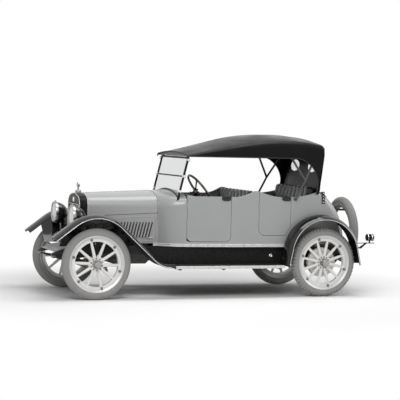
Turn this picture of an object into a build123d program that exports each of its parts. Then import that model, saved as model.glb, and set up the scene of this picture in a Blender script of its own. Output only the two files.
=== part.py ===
"""Five-seat touring car of about 1918, in millimetres: X forward, Y to the left, Z up from the ground."""
import os
from math import atan2, cos, radians, sin, tan

from build123d import *

os.makedirs("parts", exist_ok=True)

# Main sizes
WHEELBASE = 2896
TRACK = 1422
REAR_OVERHANG = 702
FENDER_LEAD = 7
FENDER_RADIUS = 433
FENDER_CROWN = 42
FENDER_RUN = 287
FENDER_DIP = 37
TYRE_RADIUS = 419
TYRE_WIDTH = 104
RIM_RADIUS = 317
SPLIT = 5
SEAT_FIT = 0.3

dip = radians(FENDER_DIP)
FRONT_OVERHANG = FENDER_LEAD + (FENDER_RADIUS + FENDER_CROWN) * sin(dip) + FENDER_RUN * cos(dip)
LENGTH = FRONT_OVERHANG + WHEELBASE + REAR_OVERHANG
FRONT_AXLE_X = LENGTH / 2 - FRONT_OVERHANG
REAR_AXLE_X = FRONT_AXLE_X - WHEELBASE
HUB_Z = TYRE_RADIUS
WHEEL_Y = TRACK / 2

# Stations along the car
RADIATOR_DEPTH = 108
RADIATOR_FRONT_X = FRONT_AXLE_X + 96
RADIATOR_BACK_X = RADIATOR_FRONT_X - RADIATOR_DEPTH
HOOD_LENGTH = 846
COWL_FRONT_X = RADIATOR_BACK_X - HOOD_LENGTH
COWL_LENGTH = 305
COWL_BACK_X = COWL_FRONT_X - COWL_LENGTH
FRONT_DOOR_WIDTH = 545
PILLAR_WIDTH = 365
REAR_DOOR_WIDTH = 417
BODY_BACK_X = REAR_AXLE_X - 394

# Body heights and widths
SILL_Z = 635
FLOOR_DEPTH = 35
BELT_Z = 1213
WALL = 35
FRONT_HALF = 560
WAIST_HALF = 612
BACK_HALF = 540

SIDES = {"left": 1, "right": -1}


def arched(x, half, bottom, eave, crown, shoulder, inset=0):
    """Upright-sided section with a crowned top, across the car at x."""
    with BuildSketch(Plane.YZ.offset(x)) as section:
        with BuildLine():
            Polyline(
                (inset - half, eave - inset),
                (inset - half, bottom),
                (half - inset, bottom),
                (half - inset, eave - inset),
            )
            ThreePointArc((half - inset, eave - inset), (0, crown - inset), (inset - half, eave - inset))
        make_face()
        fillet(section.vertices().group_by(Axis.Y)[-1], shoulder - inset)
    return section.sketch


def save(builder, name):
    """Name a finished piece and write it out."""
    builder.part.label = name
    export_step(builder.part, f"parts/{name}.step")


# Wheels and tyres
FELLOE_RADIUS = 265
FELLOE_WIDTH = 50
HUB_RADIUS = 36
HUB_IN = 60
HUB_OUT = 70
FLANGE_RADIUS = 90
SPOKE_WIDE = 21
SPOKE_THIN = 15
SPINDLE_RADIUS = 20
RUN_FIT = 0.05
HUB_CAP_RADIUS = 48
DRUM_RADIUS = 178
DRUM_DEPTH = 62
DRUM_WALL = 8


def tyre_section(plane):
    """Round tyre section on a plane whose x runs out from the hub and y along the axle."""
    bead = FELLOE_WIDTH / 2 + 14
    tread = TYRE_WIDTH * 0.32
    middle = (RIM_RADIUS + TYRE_RADIUS) / 2 - 4
    shoulder = TYRE_RADIUS - 11
    with BuildSketch(plane) as section:
        with BuildLine():
            Line((RIM_RADIUS, bead), (RIM_RADIUS, -bead))
            ThreePointArc((RIM_RADIUS, -bead), (middle, -TYRE_WIDTH / 2), (shoulder, -tread))
            ThreePointArc((shoulder, -tread), (TYRE_RADIUS, 0), (shoulder, tread))
            ThreePointArc((shoulder, tread), (middle, TYRE_WIDTH / 2), (RIM_RADIUS, bead))
        make_face()
    return section.sketch


# axle x, spokes, first spoke's share of a pitch, drum
AXLES = {"front": (FRONT_AXLE_X, 10, 0.89, False), "rear": (REAR_AXLE_X, 12, 0.59, True)}
for end, (axle_x, spokes, phase, drum) in AXLES.items():
    for side, sign in SIDES.items():
        hub = Plane((axle_x, sign * WHEEL_Y, HUB_Z), x_dir=(1, 0, 0), z_dir=(0, sign, 0))
        across = Plane(hub.origin, x_dir=(0, 0, 1), z_dir=(-sign, 0, 0))
        turn = Axis(hub.origin, (0, sign, 0))

        with BuildPart() as tyre:
            revolve(tyre_section(across), axis=turn)
        save(tyre, f"tyre_{end}_{side}")

        with BuildPart() as wheel:
            with BuildSketch(hub.offset(-FELLOE_WIDTH / 2)):
                Circle(RIM_RADIUS)
                Circle(FELLOE_RADIUS, mode=Mode.SUBTRACT)
            extrude(amount=FELLOE_WIDTH)
            with BuildSketch(hub.offset(-HUB_IN)):
                Circle(HUB_RADIUS)
            extrude(amount=HUB_IN + HUB_OUT)
            with BuildSketch(hub.offset(-34)):
                Circle(FLANGE_RADIUS)
            extrude(amount=60)
            with Locations(hub.offset(HUB_OUT + 14)):
                Cone(HUB_CAP_RADIUS, HUB_CAP_RADIUS * 0.7, 28)
            with Locations(hub.offset(HUB_OUT - 22)):
                Cylinder(HUB_CAP_RADIUS, 44)
            length = FELLOE_RADIUS + 6 - FLANGE_RADIUS * 0.6
            places = []
            for i in range(spokes):
                angle = radians(360 / spokes * (i + phase))
                out = hub.to_local_coords(hub.origin) + Vector(cos(angle), sin(angle), 0)
                way = hub.from_local_coords(out) - hub.origin
                middle = FLANGE_RADIUS * 0.6 + length / 2
                places.append(Plane(hub.origin + way * middle, x_dir=(0, sign, 0), z_dir=way))
            with Locations(*places):
                Cone(SPOKE_WIDE, SPOKE_THIN, length)
            if drum:
                with BuildSketch(hub.offset(-34)):
                    Circle(DRUM_RADIUS)
                extrude(amount=-DRUM_DEPTH)
                with BuildSketch(hub.offset(-34 - DRUM_WALL)):
                    Circle(DRUM_RADIUS - DRUM_WALL)
                    Circle(HUB_RADIUS, mode=Mode.SUBTRACT)
                extrude(amount=-DRUM_DEPTH, mode=Mode.SUBTRACT)
            with BuildSketch(hub.offset(-DRUM_DEPTH - 60)):
                Circle(SPINDLE_RADIUS + RUN_FIT)
            extrude(amount=DRUM_DEPTH + 60 + HUB_OUT, mode=Mode.SUBTRACT)
        save(wheel, f"wheel_{end}_{side}")

# Front axle, knuckles and tie rod
KINGPIN_Y = WHEEL_Y - 105
KINGPIN_RADIUS = 14
BOSS_RADIUS = 26
BOSS_HEIGHT = 90
YOKE_PLATE = 14
AXLE_DEEP = 58
AXLE_THICK = 50
SPRING_SEAT_Z = HUB_Z - 19
ARM_LENGTH = 150
ARM_WIDTH = 34
ROD_Z = HUB_Z - 84
ROD_RADIUS = 12
ROD_PIN = 8
ROD_EYE = 22

with BuildPart() as front_axle:
    with BuildSketch(Plane.YZ.offset(FRONT_AXLE_X - AXLE_THICK / 2)):
        with BuildLine():
            low = SPRING_SEAT_Z - AXLE_DEEP
            Polyline(
                (-KINGPIN_Y, HUB_Z - 30), (-KINGPIN_Y + 120, low), (KINGPIN_Y - 120, low), (KINGPIN_Y, HUB_Z - 30),
                (KINGPIN_Y, HUB_Z + 30), (KINGPIN_Y - 140, SPRING_SEAT_Z), (-KINGPIN_Y + 140, SPRING_SEAT_Z),
                (-KINGPIN_Y, HUB_Z + 30), (-KINGPIN_Y, HUB_Z - 30),
            )
        make_face()
    extrude(amount=AXLE_THICK)
    ends = [(FRONT_AXLE_X, sign * KINGPIN_Y, HUB_Z) for sign in SIDES.values()]
    with Locations(*ends):
        Cylinder(BOSS_RADIUS, BOSS_HEIGHT)
    with Locations(*[(x, y + (BOSS_RADIUS + 30) * (1 if y > 0 else -1), z) for x, y, z in ends]):
        Box(AXLE_THICK + 10, 60, BOSS_HEIGHT + 10, mode=Mode.SUBTRACT)
    with Locations(*ends):
        Cylinder(KINGPIN_RADIUS + RUN_FIT, BOSS_HEIGHT + 40, mode=Mode.SUBTRACT)
save(front_axle, "front_axle")

for side, sign in SIDES.items():
    pin = (FRONT_AXLE_X, sign * KINGPIN_Y, HUB_Z)
    top = BOSS_HEIGHT / 2 + SEAT_FIT
    web_y = BOSS_RADIUS + 4
    with BuildPart() as knuckle:
        with Locations(pin):
            Cylinder(KINGPIN_RADIUS, BOSS_HEIGHT + 2 * YOKE_PLATE)
        for level in (top + YOKE_PLATE / 2, -top - YOKE_PLATE / 2):
            with BuildSketch(Plane.XY.offset(HUB_Z + level - YOKE_PLATE / 2)):
                with Locations((FRONT_AXLE_X, sign * KINGPIN_Y)):
                    Circle(BOSS_RADIUS)
                with Locations((FRONT_AXLE_X, sign * (KINGPIN_Y + (web_y + 10) / 2))):
                    Rectangle(2 * BOSS_RADIUS, web_y + 10)
            extrude(amount=YOKE_PLATE)
        with Locations((FRONT_AXLE_X, sign * (KINGPIN_Y + web_y + 5), HUB_Z)):
            Box(2 * BOSS_RADIUS, 10, BOSS_HEIGHT + 2 * YOKE_PLATE)
        spindle = WHEEL_Y + HUB_OUT - 16 - KINGPIN_Y - web_y - 5
        with Locations(Plane((FRONT_AXLE_X, sign * (KINGPIN_Y + web_y + 5), HUB_Z), z_dir=(0, sign, 0))):
            Cylinder(SPINDLE_RADIUS, spindle, align=(Align.CENTER, Align.CENTER, Align.MIN))
        with BuildSketch(Plane.XY.offset(HUB_Z - top - YOKE_PLATE)):
            with Locations((FRONT_AXLE_X - ARM_LENGTH / 2, sign * KINGPIN_Y)):
                SlotCenterToCenter(ARM_LENGTH, ARM_WIDTH)
        extrude(amount=YOKE_PLATE)
        with Locations((FRONT_AXLE_X - ARM_LENGTH, sign * KINGPIN_Y, (ROD_Z - 16 + HUB_Z - top) / 2)):
            Cylinder(ROD_PIN, HUB_Z - top - ROD_Z + 16)
    save(knuckle, f"knuckle_{side}")

with BuildPart() as tie_rod:
    rod_x = FRONT_AXLE_X - ARM_LENGTH
    with Locations(Plane((rod_x, -KINGPIN_Y, ROD_Z), z_dir=(0, 1, 0))):
        Cylinder(ROD_RADIUS, 2 * KINGPIN_Y, align=(Align.CENTER, Align.CENTER, Align.MIN))
    eyes = [(rod_x, sign * KINGPIN_Y, ROD_Z) for sign in SIDES.values()]
    with Locations(*eyes):
        Cylinder(ROD_EYE, 2 * ROD_RADIUS + 6)
    with Locations(*eyes):
        Cylinder(ROD_PIN + RUN_FIT, 60, mode=Mode.SUBTRACT)
save(tie_rod, "tie_rod")

# Frame with curved horns, cross members and board brackets
FRAME_HALF = 350
RAIL_WIDTH = 42
RAIL_TOP = SILL_Z - FLOOR_DEPTH
RAIL_DEEP = 100
RAIL_LOW = RAIL_TOP - RAIL_DEEP
HORN_TIP_X = FRONT_AXLE_X + 441
HORN_TOP = RAIL_TOP - 85
HORN_LOW = RAIL_TOP - 117
RAIL_BACK_X = REAR_AXLE_X - 462
BOARD_TOP = 392
BOARD_THICK = 30
BOARD_OUT = 795
BOARD_IN = 545
CRANK_RADIUS = 14

with BuildPart() as frame:
    for sign in SIDES.values():
        with BuildSketch(Plane.XZ.offset(-sign * FRAME_HALF)):
            with BuildLine():
                Polyline((FRONT_AXLE_X + 90, RAIL_TOP), (RAIL_BACK_X, RAIL_TOP), (RAIL_BACK_X, RAIL_LOW),
                         (FRONT_AXLE_X + 90, RAIL_LOW))
                ThreePointArc((FRONT_AXLE_X + 90, RAIL_LOW), (FRONT_AXLE_X + 270, RAIL_LOW + 6),
                              (HORN_TIP_X, HORN_LOW))
                Line((HORN_TIP_X, HORN_LOW), (HORN_TIP_X, HORN_TOP))
                ThreePointArc((HORN_TIP_X, HORN_TOP), (FRONT_AXLE_X + 270, RAIL_TOP - 25),
                              (FRONT_AXLE_X + 90, RAIL_TOP))
            make_face()
        extrude(amount=sign * RAIL_WIDTH)
    members = (FRONT_AXLE_X + 40, COWL_FRONT_X - 60, COWL_BACK_X - 800, REAR_AXLE_X + 340, RAIL_BACK_X + 30)
    with Locations(*[(x, 0, RAIL_LOW + 45) for x in members]):
        Box(55, 2 * FRAME_HALF - RAIL_WIDTH, 70)
    with Locations(Plane((FRONT_AXLE_X + 20, 0, RAIL_LOW + 8), z_dir=(1, 0, 0))):
        Cylinder(2 * CRANK_RADIUS, 120, align=(Align.CENTER, Align.CENTER, Align.MIN))
        Cylinder(CRANK_RADIUS, 120, align=(Align.CENTER, Align.CENTER, Align.MIN), mode=Mode.SUBTRACT)
    for x in (COWL_FRONT_X - 170, COWL_BACK_X - 420, COWL_BACK_X - 1150):
        for sign in SIDES.values():
            with BuildSketch(Plane.YZ.offset(x - 20)):
                with BuildLine():
                    Polyline(
                        (sign * (FRAME_HALF - 10), RAIL_LOW + 50), (sign * (FRAME_HALF - 10), RAIL_LOW + 10),
                        (sign * (BOARD_IN - 40), BOARD_TOP - BOARD_THICK - 16),
                        (sign * (BOARD_OUT - 40), BOARD_TOP - BOARD_THICK - 16),
                        (sign * (BOARD_OUT - 40), BOARD_TOP - BOARD_THICK),
                        (sign * (BOARD_IN - 30), BOARD_TOP - BOARD_THICK),
                        (sign * (FRAME_HALF - 10), RAIL_LOW + 50),
                    )
                make_face()
            extrude(amount=40)
save(frame, "frame")

# Leaf springs
REAR_SPRING_SEAT = HUB_Z - 48
# centre x, seat z, stack, half span, eye z
SPRINGS = (
    (FRONT_AXLE_X, SPRING_SEAT_Z, 42, HORN_TIP_X - FRONT_AXLE_X - 14, HORN_LOW),
    (REAR_AXLE_X, REAR_SPRING_SEAT - 46, 46, 430, RAIL_LOW),
)
with BuildPart() as leaf_springs:
    for x, seat, stack, span, eye in SPRINGS:
        for sign in SIDES.values():
            with BuildSketch(Plane.XZ.offset(-sign * (FRAME_HALF - 2))):
                with BuildLine():
                    ThreePointArc((x - span, eye - 12), (x, seat), (x + span, eye - 12))
                    Line((x + span, eye - 12), (x + span, eye))
                    ThreePointArc((x + span, eye), (x, seat + stack), (x - span, eye))
                    Line((x - span, eye), (x - span, eye - 12))
                make_face()
            extrude(amount=sign * (RAIL_WIDTH - 4))
            if eye < RAIL_LOW:
                with Locations((x - span + 20, sign * (FRAME_HALF - RAIL_WIDTH / 2), (eye + RAIL_LOW) / 2 - 4)):
                    Box(40, RAIL_WIDTH - 4, RAIL_LOW - eye + 8)
save(leaf_springs, "leaf_springs")

# Rear axle with torque tube
AXLE_TUBE = 44
DIFF_RADIUS = 140
ENGINE_BACK_X = COWL_BACK_X - 150
TUBE_FRONT_X = ENGINE_BACK_X
with BuildPart() as rear_axle:
    plate_y = WHEEL_Y - 34 - DRUM_DEPTH
    with Locations(Plane((REAR_AXLE_X, -plate_y, HUB_Z), z_dir=(0, 1, 0))):
        Cylinder(AXLE_TUBE, 2 * plate_y, align=(Align.CENTER, Align.CENTER, Align.MIN))
    with Locations((REAR_AXLE_X, 0, HUB_Z)):
        Sphere(DIFF_RADIUS)
    pad_z = REAR_SPRING_SEAT + 0.45
    with Locations(*[(REAR_AXLE_X, sign * (FRAME_HALF - RAIL_WIDTH / 2), pad_z) for sign in SIDES.values()]):
        Box(50, RAIL_WIDTH, HUB_Z - pad_z, align=(Align.CENTER, Align.CENTER, Align.MIN))
    with Locations(Plane((REAR_AXLE_X, 0, HUB_Z), z_dir=(TUBE_FRONT_X - REAR_AXLE_X, 0, 85))):
        Cylinder(38, ((TUBE_FRONT_X - REAR_AXLE_X) ** 2 + 85 ** 2) ** 0.5 - 8,
                 align=(Align.CENTER, Align.CENTER, Align.MIN))
    for sign in SIDES.values():
        outer = Plane((REAR_AXLE_X, sign * plate_y, HUB_Z), z_dir=(0, sign, 0))
        with Locations(outer.offset(-SPLIT - 10)):
            Cylinder(DRUM_RADIUS - 12, 10, align=(Align.CENTER, Align.CENTER, Align.MIN))
        with Locations(outer.offset(-20)):
            Cylinder(SPINDLE_RADIUS, WHEEL_Y + HUB_OUT - 16 - plate_y + 20,
                     align=(Align.CENTER, Align.CENTER, Align.MIN))
save(rear_axle, "rear_axle")

# Engine, exhaust and fuel tank
ENGINE_HALF = 160
ENGINE_FRONT_X = FRONT_AXLE_X - 130
with BuildPart() as engine:
    with BuildSketch(Plane.XZ.offset(-ENGINE_HALF)):
        with BuildLine():
            Polyline(
                (ENGINE_FRONT_X, RAIL_LOW), (ENGINE_FRONT_X, 1090), (COWL_FRONT_X + 60, 1090),
                (COWL_FRONT_X + 60, RAIL_TOP - 10), (ENGINE_BACK_X, RAIL_TOP - 10), (ENGINE_BACK_X, RAIL_LOW - 40),
                (COWL_FRONT_X, RAIL_LOW - 60), (COWL_FRONT_X + 80, RAIL_LOW - 130),
                (ENGINE_FRONT_X - 240, RAIL_LOW - 130), (ENGINE_FRONT_X - 180, RAIL_LOW), (ENGINE_FRONT_X, RAIL_LOW),
            )
        make_face()
    extrude(amount=2 * ENGINE_HALF)
    members_x = COWL_FRONT_X - 60
    with Locations((members_x, 0, RAIL_LOW + 45)):
        Box(56, 2 * FRAME_HALF, 71, mode=Mode.SUBTRACT)
    with Locations((ENGINE_FRONT_X - 60, 0, RAIL_LOW + 45), (ENGINE_BACK_X + 60, 0, RAIL_LOW + 45)):
        Box(40, 2 * (FRAME_HALF - RAIL_WIDTH), 40)
save(engine, "engine")

PIPE_RADIUS = 24
MUFFLER_RADIUS = 70
PIPE_Y = -225
PIPE_Z = RAIL_LOW - 70
with BuildPart() as exhaust:
    with Locations(Plane((ENGINE_FRONT_X - 200, PIPE_Y, PIPE_Z), z_dir=(-1, 0, 0))):
        Cylinder(PIPE_RADIUS, ENGINE_FRONT_X - 200 - REAR_AXLE_X - 250,
                 align=(Align.CENTER, Align.CENTER, Align.MIN))
    with Locations(Plane((ENGINE_BACK_X - 220, PIPE_Y, PIPE_Z), z_dir=(-1, 0, 0))):
        Cylinder(MUFFLER_RADIUS, 520, align=(Align.CENTER, Align.CENTER, Align.MIN))
    with Locations((ENGINE_FRONT_X - 230, (PIPE_Y - ENGINE_HALF) / 2, PIPE_Z)):
        Box(60, -PIPE_Y - ENGINE_HALF, 40)
    with Locations((COWL_BACK_X - 800, PIPE_Y, RAIL_LOW + 10)):
        Box(30, 20, RAIL_LOW + 10 - PIPE_Z, align=(Align.CENTER, Align.CENTER, Align.MAX))
save(exhaust, "exhaust")

TANK_RADIUS = 125
TANK_X = REAR_AXLE_X - 278
TANK_HALF = FRAME_HALF - RAIL_WIDTH
with BuildPart() as fuel_tank:
    with Locations(Plane((TANK_X, -TANK_HALF, RAIL_TOP - TANK_RADIUS), z_dir=(0, 1, 0))):
        Cylinder(TANK_RADIUS, 2 * TANK_HALF, align=(Align.CENTER, Align.CENTER, Align.MIN))
save(fuel_tank, "fuel_tank")

# Radiator
RADIATOR_HALF = 270
RADIATOR_EAVE = 1150
RADIATOR_CROWN = 1221
RADIATOR_SHOULDER = 130
BEZEL = 26
TOP_TANK = 1085
CORE_FINS = 23
CAP_X = RADIATOR_FRONT_X - RADIATOR_DEPTH / 2


def radiator_section(x, inset=0):
    return arched(x, RADIATOR_HALF, RAIL_TOP, RADIATOR_EAVE, RADIATOR_CROWN, RADIATOR_SHOULDER, inset)


with BuildPart() as radiator_shell:
    extrude(radiator_section(RADIATOR_BACK_X), amount=RADIATOR_DEPTH)
    with BuildSketch(Plane.YZ.offset(RADIATOR_BACK_X)):
        with Locations((0, (RAIL_TOP + BEZEL + TOP_TANK) / 2)):
            RectangleRounded(2 * (RADIATOR_HALF - BEZEL), TOP_TANK - RAIL_TOP - BEZEL, 40)
    extrude(amount=RADIATOR_DEPTH, mode=Mode.SUBTRACT)
    fillet(radiator_shell.faces().sort_by(Axis.X)[-1].outer_wire().edges().filter_by(
        lambda edge: edge.center().Z > RAIL_TOP + 1), 14)
save(radiator_shell, "radiator_shell")

with BuildPart() as radiator_core:
    with BuildSketch(Plane.YZ.offset(RADIATOR_BACK_X + 12)):
        with Locations((0, (RAIL_TOP + BEZEL + TOP_TANK) / 2)):
            RectangleRounded(2 * (RADIATOR_HALF - BEZEL), TOP_TANK - RAIL_TOP - BEZEL, 40)
    extrude(amount=RADIATOR_DEPTH - 36)
    pitch = 2 * (RADIATOR_HALF - BEZEL - 12) / CORE_FINS
    with BuildSketch(Plane.YZ.offset(RADIATOR_FRONT_X - 24)):
        with Locations((0, (RAIL_TOP + BEZEL + TOP_TANK) / 2)):
            with GridLocations(pitch, 1, CORE_FINS, 1):
                Rectangle(pitch * 0.45, TOP_TANK - RAIL_TOP - BEZEL - 60)
    extrude(amount=-10, mode=Mode.SUBTRACT)
save(radiator_core, "radiator_core")

CAP_RADIUS = 34
GAUGE_RADIUS = 30
with BuildPart() as radiator_cap:
    with Locations((CAP_X, 0, RADIATOR_CROWN)):
        Cylinder(CAP_RADIUS, 34, align=(Align.CENTER, Align.CENTER, Align.MIN))
        Cylinder(CAP_RADIUS * 0.35, 74, align=(Align.CENTER, Align.CENTER, Align.MIN))
    with Locations(Plane((CAP_X, 0, RADIATOR_CROWN + 98), z_dir=(1, 0, 0))):
        Cylinder(GAUGE_RADIUS, 18)
    fillet(radiator_cap.edges().filter_by(GeomType.CIRCLE).filter_by(
        lambda edge: abs(edge.radius - CAP_RADIUS) < 0.1).sort_by(Axis.Z)[-1], 8)
save(radiator_cap, "radiator_cap")

# Hood: two lids on a centre rod, over fixed louvred sides
HOOD_SHEET = 7
LEDGE_FRONT_Z = 955
LEDGE_BACK_Z = 1002
HOOD_BACK_HALF = 372
HOOD_EAVE = 1172
HOOD_CROWN = 1258
HOOD_SHOULDER = 165
HINGE_ROD = 7
BARREL = 11
LOUVRES = 12
LOUVRE_PITCH = 37
LOUVRE_LENGTH = 235
LOUVRE_RADIUS = 11
LOUVRE_LEAN = 14


def hood_section(x, inset=0):
    """Hood section at x, straight between the radiator and the cowl."""
    share = (RADIATOR_BACK_X - x) / HOOD_LENGTH

    def blend(front, back):
        return front + (back - front) * share

    return arched(x, blend(RADIATOR_HALF, HOOD_BACK_HALF), SILL_Z, blend(RADIATOR_EAVE, HOOD_EAVE),
                  blend(RADIATOR_CROWN, HOOD_CROWN), blend(RADIATOR_SHOULDER, HOOD_SHOULDER), inset)


LID_FRONT_X = RADIATOR_BACK_X - SPLIT
LID_BACK_X = COWL_FRONT_X + SPLIT
ROD_FRONT = Vector(RADIATOR_BACK_X - 1, 0, RADIATOR_CROWN - 4)
ROD_BACK = Vector(COWL_FRONT_X, 0, HOOD_CROWN - 4)
ROD_WAY = ROD_BACK - ROD_FRONT


def ledge_z(x):
    return LEDGE_FRONT_Z + (LEDGE_BACK_Z - LEDGE_FRONT_Z) * (RADIATOR_BACK_X - x) / HOOD_LENGTH


def above_ledge(gap):
    """Side outline of all that lies above the hood ledge."""
    with BuildSketch(Plane.XZ) as outline:
        with BuildLine():
            front, back = RADIATOR_BACK_X + 50, COWL_FRONT_X - 50
            Polyline((front, ledge_z(front) + gap), (back, ledge_z(back) + gap), (back, 1500), (front, 1500),
                     (front, ledge_z(front) + gap))
        make_face()
    return outline.sketch


with BuildPart() as hood_skin:
    loft([hood_section(LID_FRONT_X), hood_section(LID_BACK_X)])
    loft([hood_section(LID_FRONT_X + 20, HOOD_SHEET), hood_section(LID_BACK_X - 20, HOOD_SHEET)],
         mode=Mode.SUBTRACT)
    with Locations((COWL_FRONT_X + HOOD_LENGTH / 2, 0, SILL_Z)):
        Box(HOOD_LENGTH + 100, 2 * HOOD_BACK_HALF - 60, 60, mode=Mode.SUBTRACT)

for side, sign in SIDES.items():
    with BuildPart() as lid:
        add(hood_skin.part)
        extrude(above_ledge(SPLIT / 2), amount=600, both=True, mode=Mode.INTERSECT)
        with Locations((COWL_FRONT_X + HOOD_LENGTH / 2, sign * (300 + BARREL + 2), 1000)):
            Box(HOOD_LENGTH + 100, 600, 1000, mode=Mode.INTERSECT)
        slots = range(6)
        step = (HOOD_LENGTH - 30) / 6
        barrels = [ROD_FRONT + ROD_WAY.normalized() * (15 + step * i + 1) for i in slots
                   if (i % 2 == 0) == (sign > 0)]
        with Locations(*[Plane(at, z_dir=ROD_WAY) for at in barrels]):
            Cylinder(BARREL, step - 2, align=(Align.CENTER, Align.CENTER, Align.MIN))
        with Locations(*[Plane(at, x_dir=(0, sign, 0), z_dir=ROD_WAY) for at in barrels]):
            Box(BARREL + 14, HOOD_SHEET - 1, step - 2, align=(Align.MIN, Align.CENTER, Align.MIN))
        with Locations(Plane(ROD_FRONT, z_dir=ROD_WAY)):
            Cylinder(HINGE_ROD + RUN_FIT, HOOD_LENGTH, align=(Align.CENTER, Align.CENTER, Align.MIN),
                     mode=Mode.SUBTRACT)
    save(lid, f"hood_{side}")

with BuildPart() as hood_sides:
    add(hood_skin.part)
    extrude(above_ledge(-SPLIT / 2), amount=600, both=True, mode=Mode.SUBTRACT)
    middle_x = COWL_FRONT_X + 270
    lean = atan2(HOOD_BACK_HALF - RADIATOR_HALF, HOOD_LENGTH)
    for sign in SIDES.values():
        for i in range(LOUVRES):
            x = middle_x + (i - (LOUVRES - 1) / 2) * LOUVRE_PITCH
            y = RADIATOR_HALF + (HOOD_BACK_HALF - RADIATOR_HALF) * (RADIATOR_BACK_X - x) / HOOD_LENGTH
            slope = Vector(-sin(radians(LOUVRE_LEAN)), 0, cos(radians(LOUVRE_LEAN)))
            with Locations(Plane((x, sign * (y - 3), 812), x_dir=(cos(lean), -sign * sin(lean), 0), z_dir=slope)):
                Cylinder(LOUVRE_RADIUS, LOUVRE_LENGTH)
    for x, half in ((RADIATOR_BACK_X - 10, RADIATOR_HALF - 12), (COWL_FRONT_X + 10, HOOD_BACK_HALF - 12)):
        with Locations((x, half, 780), (x, -half, 780)):
            Box(20, 24, 240)
save(hood_sides, "hood_sides")

# Cowl with firewall and hood rod
COWL_SHEET = 24
# x, half width, eave, crown, shoulder
COWL_SECTIONS = (
    (COWL_FRONT_X, HOOD_BACK_HALF, HOOD_EAVE, HOOD_CROWN, HOOD_SHOULDER),
    (COWL_BACK_X + 80, FRONT_HALF - 20, 1184, 1272, 130),
    (COWL_BACK_X, FRONT_HALF, 1190, 1276, 120),
)
COLUMN_RAKE = 38.4
WHEEL_CENTRE = Vector(COWL_BACK_X - 249, 285, 1293)
COLUMN_WAY = Vector(cos(radians(COLUMN_RAKE)), 0, -sin(radians(COLUMN_RAKE)))
COLUMN_RADIUS = 19
HINGE_RADIUS = 7
HINGE_PIN = 4
HINGE_LENGTH = 44
HINGE_HEIGHTS = (SILL_Z + 255, BELT_Z - 110)

with BuildPart() as cowl_block:
    loft([arched(x, half, SILL_Z, eave, crown, shoulder) for x, half, eave, crown, shoulder in COWL_SECTIONS])

with BuildPart() as cowl_space:
    loft([arched(x - 20, half, SILL_Z - 40, eave, crown, shoulder, COWL_SHEET)
          for x, half, eave, crown, shoulder in COWL_SECTIONS])


def body_half(x):
    """Half width of the body side at x, on the arc through the three named half widths."""
    return body_arc_y(x, 0)


def body_arc_y(x, inset):
    """Side of the body in plan at x, drawn in by inset."""
    x1, y1 = COWL_BACK_X, FRONT_HALF
    x2, y2 = (COWL_BACK_X + BODY_BACK_X) / 2, WAIST_HALF
    x3, y3 = BODY_BACK_X, BACK_HALF
    d = 2 * (x1 * (y2 - y3) + x2 * (y3 - y1) + x3 * (y1 - y2))
    s1, s2, s3 = x1 ** 2 + y1 ** 2, x2 ** 2 + y2 ** 2, x3 ** 2 + y3 ** 2
    cx = (s1 * (y2 - y3) + s2 * (y3 - y1) + s3 * (y1 - y2)) / d
    cy = (s1 * (x3 - x2) + s2 * (x1 - x3) + s3 * (x2 - x1)) / d
    radius = ((x1 - cx) ** 2 + (y1 - cy) ** 2) ** 0.5 - inset
    return cy + (radius ** 2 - (x - cx) ** 2) ** 0.5


FRONT_DOOR_X = COWL_BACK_X - SPLIT
REAR_DOOR_X = FRONT_DOOR_X - FRONT_DOOR_WIDTH - PILLAR_WIDTH
REAR_DOOR_END = REAR_DOOR_X - REAR_DOOR_WIDTH
REAR_FENDER_RADIUS = 440
REAR_FENDER_X = REAR_AXLE_X + 6
REAR_FENDER_Z = HUB_Z + 93
REAR_CROWN = 55
REAR_FLARE = 12
DOOR_CLEAR = 20
# front edge x, width, bottom z, corner radius
DOORS = {
    "front": (FRONT_DOOR_X, FRONT_DOOR_WIDTH, SILL_Z + 36, 60),
    "rear": (REAR_DOOR_X, REAR_DOOR_WIDTH, SILL_Z + 112, 80),
}


def door_outline(end, gap, ahead=0):
    """Side outline of a door, grown by gap and reaching ahead; the rear door is cut round the fender."""
    x, width, bottom, corner = DOORS[end]
    with BuildSketch(Plane.XZ) as outline:
        with BuildLine():
            FilletPolyline((x + gap + ahead, 1500), (x + gap + ahead, bottom - gap), (x - width - gap, bottom - gap),
                           (x - width - gap, 1500), radius=corner + gap)
            Line((x - width - gap, 1500), (x + gap + ahead, 1500))
        make_face()
        if end == "rear":
            with Locations((REAR_FENDER_X, REAR_FENDER_Z)):
                Circle(REAR_FENDER_RADIUS + REAR_CROWN + DOOR_CLEAR - gap, mode=Mode.SUBTRACT)
    return outline.sketch


def hinge_places(end, sign):
    x = DOORS[end][0] + SPLIT / 2
    return [(x, sign * (body_half(x) + 1), z) for z in HINGE_HEIGHTS]


def hinge_on_body(builder_part, end, sign):
    """Hinge pins with knuckles above and below each door barrel, joined to the panel ahead."""
    shift = HINGE_LENGTH / 2 + SEAT_FIT
    with BuildPart() as panel:
        add(builder_part)
        for x, y, z in hinge_places(end, sign):
            with Locations((x, y, z)):
                Cylinder(HINGE_RADIUS + 1.5, HINGE_LENGTH + 2 * SEAT_FIT, mode=Mode.SUBTRACT)
            with Locations((x, y, z + shift + 10), (x, y, z - shift - 10)):
                Cylinder(HINGE_RADIUS, 20)
            with Locations((x + 6, y - sign * 6, z + shift + 10), (x + 6, y - sign * 6, z - shift - 10)):
                Box(14, 12, 20)
            with Locations((x, y, z)):
                Cylinder(HINGE_PIN, HINGE_LENGTH + 20)
    return panel.part


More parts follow.
